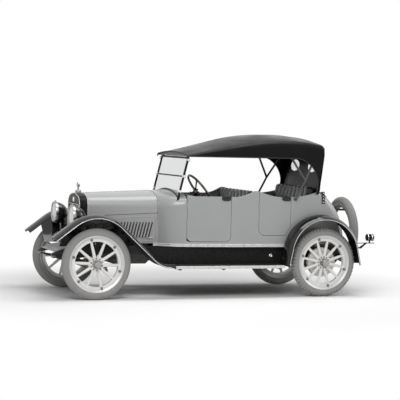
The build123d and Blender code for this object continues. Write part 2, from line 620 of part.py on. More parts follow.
with BuildPart() as cowl_shell:
    add(cowl_block.part)
    add(cowl_space.part, mode=Mode.SUBTRACT)
    with Locations(Plane(WHEEL_CENTRE, z_dir=COLUMN_WAY)):
        Cylinder(COLUMN_RADIUS + SEAT_FIT, 1400, align=(Align.CENTER, Align.CENTER, Align.MIN),
                 mode=Mode.SUBTRACT)
    with Locations(Plane(ROD_FRONT, z_dir=ROD_WAY)):
        Cylinder(HINGE_ROD, ROD_WAY.length + 2, align=(Align.CENTER, Align.CENTER, Align.MIN))

with BuildPart() as cowl:
    add(hinge_on_body(hinge_on_body(cowl_shell.part, "front", 1), "front", -1))
save(cowl, "cowl")

# Body tub: plan arcs cut by the belt line above and the rounded back behind
HUMP_X = REAR_DOOR_X + 38
HUMP_Z = BELT_Z + 74


# height, back behind the body's rearmost point, corner radius
BODY_SECTIONS = (
    (SILL_Z, 0, 170),
    (SILL_Z + 265, 35, 170),
    (SILL_Z + 465, 150, 150),
    (SILL_Z + 665, 400, 110),
)


def plan_outline(z, inset, front, back, corner):
    """Plan of the body at one height between two stations, drawn in by inset, with rounded back corners."""
    middle = (front + back) / 2
    with BuildSketch(Plane.XY.offset(z)) as outline:
        with BuildLine():
            for sign in SIDES.values():
                ThreePointArc(*[(x, sign * body_arc_y(x, inset)) for x in (front, middle, back)])
            for x in (front, back):
                Line((x, body_arc_y(x, inset)), (x, -body_arc_y(x, inset)))
        make_face()
        fillet(outline.vertices().group_by(Axis.X)[0], corner)
    return outline.sketch


def under_belt():
    """Side view of all that lies under the belt line."""
    end = (BODY_BACK_X - 50, BELT_Z + 90)
    top = (BODY_BACK_X + 410, BELT_Z + 72)
    with BuildSketch(Plane.XZ) as outline:
        with BuildLine():
            Polyline(end, (end[0], SILL_Z - 40), (COWL_BACK_X + 40, SILL_Z - 40), (COWL_BACK_X + 40, BELT_Z + 17),
                     (COWL_BACK_X, BELT_Z + 17), (COWL_BACK_X - 110, BELT_Z), (HUMP_X + 290, BELT_Z))
            ThreePointArc((HUMP_X + 290, BELT_Z), (HUMP_X + 150, BELT_Z + 16), (HUMP_X + 50, HUMP_Z - 14))
            ThreePointArc((HUMP_X + 50, HUMP_Z - 14), (HUMP_X, HUMP_Z), (HUMP_X - 55, HUMP_Z - 12))
            ThreePointArc((HUMP_X - 55, HUMP_Z - 12), (HUMP_X - 210, BELT_Z + 16), (REAR_DOOR_END, BELT_Z))
            ThreePointArc((REAR_DOOR_END, BELT_Z), ((REAR_DOOR_END + top[0]) / 2, BELT_Z + 22), top)
            Line(top, end)
        make_face()
    return outline.sketch


with BuildPart() as body_block:
    loft([plan_outline(z, 0, COWL_BACK_X, BODY_BACK_X + back, corner) for z, back, corner in BODY_SECTIONS])
    extrude(under_belt(), amount=800, both=True, mode=Mode.INTERSECT)

with BuildPart() as body_space:
    loft([plan_outline(z + (z - SILL_Z - 300) * 0.13, WALL, COWL_BACK_X + 20, BODY_BACK_X + back + WALL,
                       corner - WALL) for z, back, corner in BODY_SECTIONS])

with BuildPart() as body_shell:
    add(body_block.part)
    add(body_space.part, mode=Mode.SUBTRACT)

with BuildPart() as open_shell:
    add(body_shell.part)
    extrude(door_outline("front", SPLIT, 20), amount=800, both=True, mode=Mode.SUBTRACT)
    extrude(door_outline("rear", SPLIT), amount=800, both=True, mode=Mode.SUBTRACT)

with BuildPart() as side_shell:
    add(open_shell.part)
    with Locations((REAR_DOOR_END - SPLIT, 0, 0)):
        Box(3000, 2000, 3000, align=(Align.MIN, Align.CENTER, Align.CENTER), mode=Mode.INTERSECT)

with BuildPart() as body_sides:
    add(hinge_on_body(hinge_on_body(side_shell.part, "rear", 1), "rear", -1))
save(body_sides, "body_sides")

with BuildPart() as rear_tub:
    add(open_shell.part)
    with Locations((REAR_DOOR_END - SPLIT, 0, 0)):
        Box(3000, 2000, 3000, align=(Align.MAX, Align.CENTER, Align.CENTER), mode=Mode.INTERSECT)
save(rear_tub, "rear_tub")

for end in DOORS:
    for side, sign in SIDES.items():
        with BuildPart() as door:
            add(body_shell.part)
            extrude(door_outline(end, 0), amount=sign * -800, mode=Mode.INTERSECT)
            shift = HINGE_LENGTH / 2 + SEAT_FIT + 10
            for x, y, z in hinge_places(end, sign):
                with Locations((x, y, z + shift), (x, y, z - shift)):
                    Cylinder(HINGE_RADIUS + 1.5, 20 + 2 * SEAT_FIT, mode=Mode.SUBTRACT)
                with Locations((x, y, z)):
                    Cylinder(HINGE_RADIUS, HINGE_LENGTH)
                with Locations((x - 6, y - sign * 6, z)):
                    Box(14, 12, HINGE_LENGTH)
                with Locations((x, y, z)):
                    Cylinder(HINGE_PIN + RUN_FIT, HINGE_LENGTH + 10, mode=Mode.SUBTRACT)
        save(door, f"door_{end}_{side}")

with BuildPart() as floor:
    extrude(plan_outline(RAIL_TOP, 22, COWL_BACK_X, BODY_BACK_X + 60, 120), amount=FLOOR_DEPTH)
    with BuildSketch(Plane.XY.offset(RAIL_TOP)):
        with BuildLine():
            Polyline((COWL_BACK_X, FRONT_HALF - 25), (COWL_BACK_X + 80, FRONT_HALF - 45),
                     (COWL_FRONT_X, HOOD_BACK_HALF - 30), (COWL_FRONT_X, 30 - HOOD_BACK_HALF),
                     (COWL_BACK_X + 80, 45 - FRONT_HALF), (COWL_BACK_X, 25 - FRONT_HALF), close=True)
        make_face()
    extrude(amount=FLOOR_DEPTH)
    with Locations(Plane(WHEEL_CENTRE, z_dir=COLUMN_WAY)):
        Cylinder(COLUMN_RADIUS + SEAT_FIT, 1400, align=(Align.CENTER, Align.CENTER, Align.MIN),
                 mode=Mode.SUBTRACT)
save(floor, "floor")

# Running boards
BOARD_BACK_X = REAR_FENDER_X + REAR_FENDER_RADIUS + 94
FENDER_FOOT_X = COWL_BACK_X + 205
BOARD_LOW = BOARD_TOP - BOARD_THICK
with BuildPart() as running_boards:
    for sign in SIDES.values():
        with BuildSketch(Plane.XY.offset(BOARD_LOW)):
            with Locations(((FENDER_FOOT_X + BOARD_BACK_X) / 2, sign * (BOARD_OUT + BOARD_IN) / 2)):
                Rectangle(FENDER_FOOT_X - BOARD_BACK_X, BOARD_OUT - BOARD_IN)
        extrude(amount=BOARD_THICK)
save(running_boards, "running_boards")

# Front fenders: a straight dip ahead, an arc over the wheel and a straight run down to the board
FENDER_OUT = 800
FENDER_SHEET = 6
FENDER_BEAD = 9
FENDER_IN = BOARD_IN
FENDER_X = FRONT_AXLE_X + FENDER_LEAD
FENDER_Z = HUB_Z + 107
FENDER_SLOPE = 43
FENDER_FOOT_Z = BOARD_TOP - 8
FOOT_FILLET = 300
slope = radians(FENDER_SLOPE)
LEAD_X = FENDER_X + FENDER_RADIUS * sin(dip)
LEAD_Z = FENDER_Z + FENDER_RADIUS * cos(dip)
TIP_X = LEAD_X + FENDER_RUN * cos(dip)
TIP_Z = LEAD_Z - FENDER_RUN * sin(dip)
BEND_X = FENDER_X - FENDER_RADIUS * sin(slope)
BEND_Z = FENDER_Z + FENDER_RADIUS * cos(slope)
CORNER_X = BEND_X - (BEND_Z - FENDER_FOOT_Z) / tan(slope)


def fender_edge_z(x):
    """Height of the fender's inner edge at x, from the dip over the arc to the straight run."""
    if x > LEAD_X:
        return LEAD_Z - (x - LEAD_X) * tan(dip)
    if x < BEND_X:
        return BEND_Z - (BEND_X - x) * tan(slope)
    return FENDER_Z + (FENDER_RADIUS ** 2 - (x - FENDER_X) ** 2) ** 0.5


def valance_section(x, sign):
    """Thin skirt from the fender's inner edge down to the frame, across the car at x."""
    edge = fender_edge_z(x)
    foot = FRAME_HALF + 2
    with BuildSketch(Plane.YZ.offset(x)) as section:
        with BuildLine():
            Polyline((sign * (FENDER_IN + 4), edge - 1), (sign * (FENDER_IN + 9), edge - FENDER_SHEET),
                     (sign * (foot + 7), RAIL_TOP), (sign * (foot - 2), RAIL_TOP), close=True)
        make_face()
    return section.sketch


def fender_section(plane, crown, inner, droop):
    """Crowned fender sheet with a bead along its outer edge; plane x runs out from the wheel."""
    out = FENDER_OUT
    mid = (FENDER_OUT + inner) / 2 + 10
    with BuildSketch(plane) as section:
        with BuildLine():
            upper = ThreePointArc((out, 0), (mid, crown), (inner, droop))
            lower = ThreePointArc((out, -FENDER_SHEET), (mid, crown - FENDER_SHEET),
                                  (inner, droop - FENDER_SHEET))
            Line(upper @ 0, lower @ 0)
            Line(upper @ 1, lower @ 1)
        make_face()
        with Locations((out, -FENDER_SHEET / 2)):
            Circle(FENDER_BEAD)
    return section.sketch


with BuildPart() as front_fenders:
    for sign in SIDES.values():
        with BuildLine(Plane.XZ) as run:
            Line((TIP_X, TIP_Z), (LEAD_X, LEAD_Z))
            CenterArc((FENDER_X, FENDER_Z), FENDER_RADIUS, 90 - FENDER_DIP, FENDER_DIP + FENDER_SLOPE)
            FilletPolyline((BEND_X, BEND_Z), (CORNER_X, FENDER_FOOT_Z), (FENDER_FOOT_X, FENDER_FOOT_Z),
                           radius=FOOT_FILLET)
        away = Vector(sin(dip), 0, cos(dip))
        plane = Plane((TIP_X, 0, TIP_Z), x_dir=(0, sign, 0), z_dir=Vector(0, sign, 0).cross(away))
        sweep(fender_section(plane, FENDER_CROWN, FENDER_IN, 0), path=run.wires()[0])
        skirt_back = BEND_X - (BEND_Z - RAIL_TOP - 40) / tan(slope)
        stations = [FENDER_X + 350 - i * (FENDER_X + 350 - skirt_back) / 9 for i in range(10)]
        loft([valance_section(x, sign) for x in stations], ruled=True)
    add(running_boards.part, mode=Mode.SUBTRACT)
    add(frame.part, mode=Mode.SUBTRACT)
save(front_fenders, "front_fenders")

# Splash aprons between the body and the boards, up to the front fenders
APRON_SHEET = 6
with BuildPart() as splash_aprons:
    turn = FOOT_FILLET * tan(slope / 2)
    start = (CORNER_X + turn * cos(slope), FENDER_FOOT_Z + turn * sin(slope))
    centre = Vector(CORNER_X - turn, FENDER_FOOT_Z + FOOT_FILLET)
    middle = centre + (Vector(CORNER_X, FENDER_FOOT_Z) - centre).normalized() * FOOT_FILLET
    top_x = BEND_X - (BEND_Z - RAIL_TOP) / tan(slope)
    for sign in SIDES.values():
        with BuildSketch(Plane.XZ.offset(-sign * (FENDER_IN - SEAT_FIT))):
            with BuildLine():
                Polyline((top_x, RAIL_TOP), start, (middle.X, middle.Y), (CORNER_X - turn, FENDER_FOOT_Z),
                         (FENDER_FOOT_X, BOARD_LOW), (BOARD_BACK_X - 18, BOARD_LOW), (BOARD_BACK_X - 28, RAIL_TOP),
                         close=True)
            make_face()
        extrude(amount=sign * APRON_SHEET)
save(splash_aprons, "splash_aprons")

# Rear fenders: an arc over the wheel with legs that flare a little
with BuildPart() as rear_fenders:
    flare = radians(REAR_FLARE)
    leg_z = REAR_FENDER_Z + REAR_FENDER_RADIUS * sin(flare)
    reach = REAR_FENDER_RADIUS * cos(flare)
    front_foot = FENDER_FOOT_Z - 10
    back_foot = FENDER_FOOT_Z + 6
    foot_x = REAR_FENDER_X + reach + (leg_z - front_foot) * tan(flare)
    for sign in SIDES.values():
        with BuildLine(Plane.XZ) as run:
            Line((foot_x, front_foot), (REAR_FENDER_X + reach, leg_z))
            CenterArc((REAR_FENDER_X, REAR_FENDER_Z), REAR_FENDER_RADIUS, REAR_FLARE, 180 - 2 * REAR_FLARE)
            Line((REAR_FENDER_X - reach, leg_z),
                 (REAR_FENDER_X - reach - (leg_z - back_foot) * tan(flare), back_foot))
        away = Vector(cos(flare), 0, sin(flare))
        plane = Plane((foot_x, 0, front_foot), x_dir=(0, sign, 0), z_dir=Vector(0, sign, 0).cross(away))
        sweep(fender_section(plane, REAR_CROWN, FENDER_IN, 20), path=run.wires()[0])
    add(body_block.part, mode=Mode.SUBTRACT)
    add(floor.part, mode=Mode.SUBTRACT)
    add(running_boards.part, mode=Mode.SUBTRACT)
save(rear_fenders, "rear_fenders")

with BuildPart() as front_apron:
    with BuildSketch(Plane.XZ):
        with BuildLine():
            upper = ThreePointArc((RADIATOR_FRONT_X + 1, RAIL_TOP + 5), (FRONT_AXLE_X + 270, RAIL_TOP - 20),
                                  (HORN_TIP_X - 40, HORN_TOP + 22))
            lower = ThreePointArc((RADIATOR_FRONT_X + 1, RAIL_TOP - 3), (FRONT_AXLE_X + 268, RAIL_TOP - 28),
                                  (HORN_TIP_X - 44, HORN_TOP + 14))
            Line(upper @ 0, lower @ 0)
            Line(upper @ 1, lower @ 1)
        make_face()
    extrude(amount=FRAME_HALF - 10, both=True)
    add(frame.part, mode=Mode.SUBTRACT)
save(front_apron, "front_apron")

# Headlamps on posts
LAMP_X = FRONT_AXLE_X + 232
LAMP_Y = 410
LAMP_Z = 964
LAMP_RADIUS = 130
LAMP_DEPTH = 180
with BuildPart() as headlamps:
    for sign in SIDES.values():
        middle = Vector(LAMP_X, sign * LAMP_Y, LAMP_Z)
        with BuildSketch(Plane(middle, x_dir=(1, 0, 0), z_dir=(0, -1, 0))):
            with BuildLine():
                Polyline((0, LAMP_RADIUS - 10), (0, LAMP_RADIUS), (-26, LAMP_RADIUS), (-26, LAMP_RADIUS - 8))
                ThreePointArc((-26, LAMP_RADIUS - 8), (-LAMP_DEPTH * 0.74, LAMP_RADIUS * 0.6), (-LAMP_DEPTH, 0))
                Line((-LAMP_DEPTH, 0), (-LAMP_DEPTH + 14, 0))
                ThreePointArc((-LAMP_DEPTH + 14, 0), (-LAMP_DEPTH * 0.68, LAMP_RADIUS * 0.55),
                              (-20, LAMP_RADIUS - 18))
                Polyline((-20, LAMP_RADIUS - 18), (0, LAMP_RADIUS - 18), (0, LAMP_RADIUS - 10))
            make_face()
        revolve(axis=Axis(middle, (1, 0, 0)))
        foot = Vector(LAMP_X - 95, sign * (FRAME_HALF - RAIL_WIDTH + 10), RAIL_TOP - 40)
        neck = Vector(LAMP_X - 75, sign * LAMP_Y, LAMP_Z - 85)
        with Locations(Plane(foot, z_dir=neck - foot)):
            Cylinder(14, (neck - foot).length, align=(Align.CENTER, Align.CENTER, Align.MIN))
    add(frame.part, mode=Mode.SUBTRACT)
    add(front_apron.part, mode=Mode.SUBTRACT)
save(headlamps, "headlamps")

with BuildPart() as headlamp_lenses:
    for sign in SIDES.values():
        with Locations(Plane((LAMP_X - 16, sign * LAMP_Y, LAMP_Z), z_dir=(1, 0, 0))):
            Cylinder(LAMP_RADIUS - 18, 14, align=(Align.CENTER, Align.CENTER, Align.MIN))
save(headlamp_lenses, "headlamp_lenses")

# Windscreen, raked back over the cowl
SCREEN_RAKE = 13.7
SCREEN_HALF = 508
SCREEN_HEIGHT = 526
SCREEN_BASE = Vector(COWL_BACK_X + 100, 0, BELT_Z - 40)
SCREEN_BAR = 22
SCREEN_SPLIT = 285
TOP_EDGE_Z = 1692
screen = Plane(SCREEN_BASE, x_dir=(0, 1, 0), z_dir=(cos(radians(SCREEN_RAKE)), 0, sin(radians(SCREEN_RAKE))))


def screen_outline(plane, inset, low):
    with BuildSketch(plane) as outline:
        with BuildLine():
            half = SCREEN_HALF - inset
            Polyline((-half, low), (-half, SCREEN_HEIGHT - inset), (half, SCREEN_HEIGHT - inset), (half, low))
            ThreePointArc((half, low), (0, low + 98), (-half, low))
        make_face()
    return outline.sketch


with BuildPart() as windscreen_frame:
    extrude(screen_outline(screen.offset(-11), 0, -40), amount=22)
    extrude(screen_outline(screen.offset(-11), SCREEN_BAR, SCREEN_BAR), amount=22, mode=Mode.SUBTRACT)
    with BuildSketch(screen.offset(-8)):
        with Locations((0, SCREEN_SPLIT)):
            Rectangle(2 * SCREEN_HALF - SCREEN_BAR, 16)
    extrude(amount=16)
    header = screen.from_local_coords(Vector(0, SCREEN_HEIGHT, 0))
    with Locations(*[(header.X, y, header.Z - 12) for y in (-SCREEN_HALF + 40, SCREEN_HALF - 40)]):
        Box(22, 40, TOP_EDGE_Z - 2 - header.Z + 12, align=(Align.CENTER, Align.CENTER, Align.MIN))
    add(cowl_block.part, mode=Mode.SUBTRACT)
save(windscreen_frame, "windscreen_frame")

with BuildPart() as windscreen_glass:
    extrude(screen_outline(screen.offset(-3), SCREEN_BAR, SCREEN_BAR), amount=6)
    with BuildSketch(screen.offset(-10)):
        with Locations((0, SCREEN_SPLIT)):
            Rectangle(2 * SCREEN_HALF, 16)
    extrude(amount=20, mode=Mode.SUBTRACT)
    add(cowl_block.part, mode=Mode.SUBTRACT)
save(windscreen_glass, "windscreen_glass")

# Folding top, up: cloth over bows, with a leaning back curtain and two oval lights
CLOTH = 9
TOP_FRONT_X = COWL_BACK_X + 15
TOP_BACK_X = REAR_AXLE_X - 52
TOP_BACK_Z = 1800
TOP_LEAN = 7.4
QUARTER_X = TOP_BACK_X + 91
QUARTER_Z = 1400
# x, half width, eave, crown, shoulder
TOP_SECTIONS = (
    (TOP_FRONT_X, 575, 1705, 1743, 36),
    (TOP_FRONT_X - 620, 590, 1817, 1905, 75),
    (TOP_FRONT_X - 1290, 600, 1885, 1976, 90),
    (TOP_BACK_X, 590, 1832, 1904, 75),
)
REST_Z = BELT_Z + 40
top_lean = radians(TOP_LEAN)


def top_loft(inset, ahead):
    """Sections of the top drawn in by inset, with its front moved ahead and its back past the curtain."""
    last = len(TOP_SECTIONS) - 1
    return [arched(x + (ahead if i == 0 else 0) - (30 if i == last else 0), half, REST_Z - inset, eave, crown,
                   shoulder, inset) for i, (x, half, eave, crown, shoulder) in enumerate(TOP_SECTIONS)]


def top_side(inset):
    """Side view of the top: a leaning back with a rounded upper corner, drawn in by inset."""
    back = TOP_BACK_X + inset
    low = REST_Z - 100
    with BuildSketch(Plane.XZ) as outline:
        with BuildLine():
            Polyline((back, TOP_BACK_Z), (back + (TOP_BACK_Z - low) * tan(top_lean), low),
                     (TOP_FRONT_X + 100, low), (TOP_FRONT_X + 100, TOP_BACK_Z + 270), (back + 300, TOP_BACK_Z + 270),
                     (back + 62, TOP_BACK_Z + 100 - inset))
            ThreePointArc((back + 62, TOP_BACK_Z + 100 - inset), (back + 16, TOP_BACK_Z + 58 - inset / 2),
                          (back, TOP_BACK_Z))
        make_face()
    return outline.sketch


LIGHT_Y = 270
LIGHT_Z = 1590
LIGHT_WIDE = 140
LIGHT_HIGH = 73
back_plane = Plane((TOP_BACK_X + (TOP_BACK_Z - LIGHT_Z) * tan(top_lean), 0, LIGHT_Z), x_dir=(0, 1, 0),
                   z_dir=(cos(top_lean), 0, sin(top_lean)))

with BuildPart() as top_block:
    loft(top_loft(0, 0))
    extrude(top_side(0), amount=800, both=True, mode=Mode.INTERSECT)

with BuildPart() as top_space:
    loft(top_loft(CLOTH, 30))
    extrude(top_side(CLOTH), amount=800, both=True, mode=Mode.INTERSECT)

with BuildPart() as canopy:
    add(top_block.part)
    add(top_space.part, mode=Mode.SUBTRACT)
    with BuildSketch(Plane.XZ):
        with BuildLine():
            Polyline((TOP_FRONT_X + 60, TOP_EDGE_Z), (TOP_FRONT_X + 60, REST_Z - 80),
                     (QUARTER_X + 60, REST_Z - 80))
            ThreePointArc((QUARTER_X + 60, REST_Z - 80), (QUARTER_X + 11, QUARTER_Z - 100),
                          (QUARTER_X, QUARTER_Z))
            ThreePointArc((QUARTER_X, QUARTER_Z), (QUARTER_X + 125, TOP_EDGE_Z - 66),
                          (QUARTER_X + 290, TOP_EDGE_Z))
            Line((QUARTER_X + 290, TOP_EDGE_Z), (TOP_FRONT_X + 60, TOP_EDGE_Z))
        make_face()
    extrude(amount=800, both=True, mode=Mode.SUBTRACT)
    with BuildSketch(back_plane.offset(-40)):
        with Locations((LIGHT_Y, 0), (-LIGHT_Y, 0)):
            Ellipse(LIGHT_WIDE, LIGHT_HIGH)
    extrude(amount=90, mode=Mode.SUBTRACT)
    add(body_block.part, mode=Mode.SUBTRACT)
save(canopy, "canopy")

with BuildPart() as back_lights:
    with BuildSketch(back_plane.offset(2)):
        with Locations((LIGHT_Y, 0), (-LIGHT_Y, 0)):
            Ellipse(LIGHT_WIDE, LIGHT_HIGH)
    extrude(amount=4)
save(back_lights, "back_lights")

BOW_WIDE = 36
BOW_DEEP = 22
IRON_PIVOT = Vector(REAR_DOOR_END - 55, 0, BELT_Z - 20)
IRON_FORK = Vector(REAR_DOOR_END - 175, 0, BELT_Z + 205)
IRON_BACK = Vector(REAR_DOOR_END - 320, 0, TOP_EDGE_Z + 60)
IRON_FRONT = Vector(REAR_DOOR_END - 30, 0, TOP_EDGE_Z + 60)
IRON_RADIUS = 13
IRON_Y = WAIST_HALF + 15
BOW_STATIONS = (TOP_FRONT_X - 620, IRON_FRONT.X, IRON_BACK.X)

with BuildPart() as bow_hoops:
    loft(top_loft(CLOTH + 0.5, 30))
    loft(top_loft(CLOTH + 0.5 + BOW_DEEP, 60), mode=Mode.SUBTRACT)
    with Locations((0, 0, TOP_EDGE_Z + 300 - 2)):
        Box(2 * LENGTH, 2000, 600, mode=Mode.INTERSECT)
    extrude(top_side(CLOTH + 0.5), amount=800, both=True, mode=Mode.INTERSECT)

with BuildPart() as bow_slabs:
    with Locations(*[(x, 0, TOP_EDGE_Z + 200) for x in BOW_STATIONS]):
        Box(BOW_WIDE, 2000, 700)

with BuildPart() as header_bow:
    loft(top_loft(CLOTH + 0.5, 30))
    with Locations((TOP_FRONT_X - 30, 0, TOP_EDGE_Z - 2)):
        Box(BOW_WIDE, 2000, 300, align=(Align.CENTER, Align.CENTER, Align.MIN), mode=Mode.INTERSECT)

with BuildPart() as top_bows:
    add(bow_hoops.part)
    add(bow_slabs.part, mode=Mode.INTERSECT)
    add(header_bow.part)
    for sign in SIDES.values():
        out = Vector(0, sign * IRON_Y, 0)
        under = Vector(0, sign * 545, -70)
        stub = Vector(0, sign * 27, 60)
        # from, to
        rods = (
            (IRON_PIVOT + out, IRON_FORK + out),
            (IRON_FORK + out, IRON_BACK + under),
            (IRON_FORK + out, IRON_FRONT + under),
            (IRON_BACK + under, IRON_BACK + under + stub),
            (IRON_FRONT + under, IRON_FRONT + under + stub),
        )
        for low, high in rods:
            with Locations(Plane(low, z_dir=high - low)):
                Cylinder(IRON_RADIUS, (high - low).length, align=(Align.CENTER, Align.CENTER, Align.MIN))
        with Locations(IRON_FORK + out, IRON_BACK + under, IRON_FRONT + under, IRON_PIVOT + out):
            Sphere(IRON_RADIUS + 1)
        rest = body_half(IRON_PIVOT.X)
        with Locations(Plane(IRON_PIVOT + Vector(0, sign * rest, 0), z_dir=(0, sign, 0))):
            Cylinder(20, IRON_Y - rest, align=(Align.CENTER, Align.CENTER, Align.MIN))
    add(body_block.part, mode=Mode.SUBTRACT)
save(top_bows, "top_bows")

# Seats
SEAT_Z = SILL_Z + 270
CUSHION_THICK = 130
FRONT_SEAT_X = HUMP_X + 505
FRONT_SEAT_LONG = 470
REAR_SEAT_X = TOP_BACK_X + 660
REAR_SEAT_LONG = 480
BACK_THICK = 95
BACK_LEAN = 14
# front x, cushion length, back top z
SEATS = (
    (FRONT_SEAT_X, FRONT_SEAT_LONG, HUMP_Z - 20),
    (REAR_SEAT_X, REAR_SEAT_LONG, HUMP_Z + 60),
)
SEAT_HALF = 545

with BuildPart() as seat_frames:
    for x, long, top in SEATS:
        with Locations((x - 25, 0, SILL_Z)):
            Box(long - 60, 2 * SEAT_HALF - 30, SEAT_Z - CUSHION_THICK - SILL_Z,
                align=(Align.MAX, Align.CENTER, Align.MIN))
save(seat_frames, "seat_frames")

with BuildPart() as seat_cushions:
    for x, long, top in SEATS:
        with BuildSketch(Plane.XZ.offset(-SEAT_HALF)):
            with BuildLine():
                low = SEAT_Z - CUSHION_THICK
                FilletPolyline((x, low), (x, SEAT_Z + 10), (x - long, SEAT_Z - 15), (x - long, low), (x, low),
                               radius=28, close=True)
            make_face()
        extrude(amount=2 * SEAT_HALF)
save(seat_cushions, "seat_cushions")

with BuildPart() as seat_backs:
    for x, long, top in SEATS:
        foot_x = x - long + 120
        foot_z = SEAT_Z - 20
        shift = (top - foot_z) * tan(radians(BACK_LEAN))
        with BuildSketch(Plane.XZ.offset(-SEAT_HALF)):
            with BuildLine():
                FilletPolyline((foot_x, foot_z), (foot_x - shift, top), (foot_x - shift - BACK_THICK, top - 10),
                               (foot_x - BACK_THICK - 15, foot_z), radius=24, close=True)
            make_face()
        extrude(amount=2 * SEAT_HALF)
    add(seat_cushions.part, mode=Mode.SUBTRACT)
save(seat_backs, "seat_backs")

# Dashboard, column, steering wheel and hand controls
DASH_X = COWL_BACK_X + 12
with BuildPart() as dashboard:
    add(cowl_space.part)
    with Locations((DASH_X, 0, SILL_Z + 360)):
        Box(18, 2000, 1000, align=(Align.MIN, Align.CENTER, Align.MIN), mode=Mode.INTERSECT)
    with Locations(Plane(WHEEL_CENTRE, z_dir=COLUMN_WAY)):
        Cylinder(COLUMN_RADIUS + SEAT_FIT, 1400, align=(Align.CENTER, Align.CENTER, Align.MIN),
                 mode=Mode.SUBTRACT)
save(dashboard, "dashboard")

RING_RADIUS = 208
RING_THICK = 14
HUB_DISH = 60
GEAR_CASE = 55
COLUMN_END = (WHEEL_CENTRE.Z - RAIL_LOW - 60) / sin(radians(COLUMN_RAKE))
with BuildPart() as steering_column:
    with Locations(Plane(WHEEL_CENTRE + COLUMN_WAY * (HUB_DISH + 34), z_dir=COLUMN_WAY)):
        Cylinder(COLUMN_RADIUS, COLUMN_END - HUB_DISH - 34, align=(Align.CENTER, Align.CENTER, Align.MIN))
    case = WHEEL_CENTRE + COLUMN_WAY * COLUMN_END
    with Locations((case.X, case.Y - 30, RAIL_LOW + 55)):
        Box(150, 2 * (FRAME_HALF - RAIL_WIDTH - case.Y + 30), 90)
    with Locations(Plane(WHEEL_CENTRE + COLUMN_WAY * HUB_DISH, z_dir=COLUMN_WAY)):
        Cylinder(10, 60, align=(Align.CENTER, Align.CENTER, Align.MIN))
save(steering_column, "steering_column")

with BuildPart() as steering_wheel:
    face = Plane(WHEEL_CENTRE, x_dir=(0, 1, 0), z_dir=COLUMN_WAY)
    with Locations(face):
        Torus(RING_RADIUS, RING_THICK)
    with Locations(face.offset(HUB_DISH)):
        Cylinder(34, 40)
    for i in range(4):
        angle = radians(45 + 90 * i)
        rim = face.from_local_coords(Vector(RING_RADIUS * cos(angle), RING_RADIUS * sin(angle), 0))
        root = face.from_local_coords(Vector(20 * cos(angle), 20 * sin(angle), HUB_DISH))
        with Locations(Plane(root, z_dir=rim - root)):
            Cylinder(9, (rim - root).length, align=(Align.CENTER, Align.CENTER, Align.MIN))
    with Locations(face.offset(HUB_DISH - 12)):
        Cylinder(10 + RUN_FIT, 80, align=(Align.CENTER, Align.CENTER, Align.MIN), mode=Mode.SUBTRACT)
save(steering_wheel, "steering_wheel")

LEVER_X = COWL_BACK_X - 30
with BuildPart() as controls:
    # foot x, y, top x, top y, top z
    for x, y, x2, y2, z2 in ((LEVER_X, 0, LEVER_X - 70, 30, 1010), (LEVER_X - 20, -90, LEVER_X + 10, -90, 1040)):
        foot = Vector(x, y, SILL_Z + 4)
        head = Vector(x2, y2, z2)
        with Locations(Plane(foot, z_dir=head - foot)):
            Cylinder(9, (head - foot).length, align=(Align.CENTER, Align.CENTER, Align.MIN))
        with Locations(head):
            Sphere(20)
    with Locations((LEVER_X, 0, SILL_Z), (LEVER_X - 20, -90, SILL_Z)):
        Cylinder(40, 30, align=(Align.CENTER, Align.CENTER, Align.MIN))
    for y in (180, 260, 360):
        with Locations(Plane((COWL_BACK_X + 178, y, SILL_Z + 6), z_dir=(-0.5, 0, 1))):
            Cylinder(8, 120, align=(Align.CENTER, Align.CENTER, Align.MIN))
        with Locations(Plane((COWL_BACK_X + 126, y, SILL_Z + 108), z_dir=(-0.7, 0, 1))):
            Box(80, 60, 12)
    with Locations(*[(COWL_BACK_X + 180, y, SILL_Z) for y in (180, 260, 360)]):
        Cylinder(14, 16, align=(Align.CENTER, Align.CENTER, Align.MIN))
save(controls, "controls")

# Spare tyre on its carrier
SPARE_X = REAR_AXLE_X - 585
SPARE_Z = 779
SPARE_LEAN = 2
spare_axis = Vector(-cos(radians(SPARE_LEAN)), 0, sin(radians(SPARE_LEAN)))
spare_up = Vector(sin(radians(SPARE_LEAN)), 0, cos(radians(SPARE_LEAN)))
spare = Vector(SPARE_X, 0, SPARE_Z)
with BuildPart() as spare_tyre:
    revolve(tyre_section(Plane(spare, x_dir=spare_up, z_dir=spare_up.cross(spare_axis))),
            axis=Axis(spare, spare_axis))
save(spare_tyre, "spare_tyre")

with BuildPart() as spare_carrier:
    with BuildSketch(Plane(spare - spare_axis * 34, z_dir=spare_axis)):
        Circle(RIM_RADIUS)
        Circle(RIM_RADIUS - 24, mode=Mode.SUBTRACT)
    extrude(amount=68)
    for sign in SIDES.values():
        with Locations((RAIL_BACK_X + 3, sign * 200, RAIL_LOW + 58)):
            Box(RAIL_BACK_X + 3 - SPARE_X + 12, 30, 38, align=(Align.MAX, Align.CENTER, Align.CENTER))
        with Locations((BODY_BACK_X + 180, sign * 150, SPARE_Z + 262)):
            Box(BODY_BACK_X + 180 - SPARE_X - 20, 30, 24, align=(Align.MAX, Align.CENTER, Align.CENTER))
    for cut in (frame.part, body_block.part, spare_tyre.part):
        add(cut, mode=Mode.SUBTRACT)
save(spare_carrier, "spare_carrier")

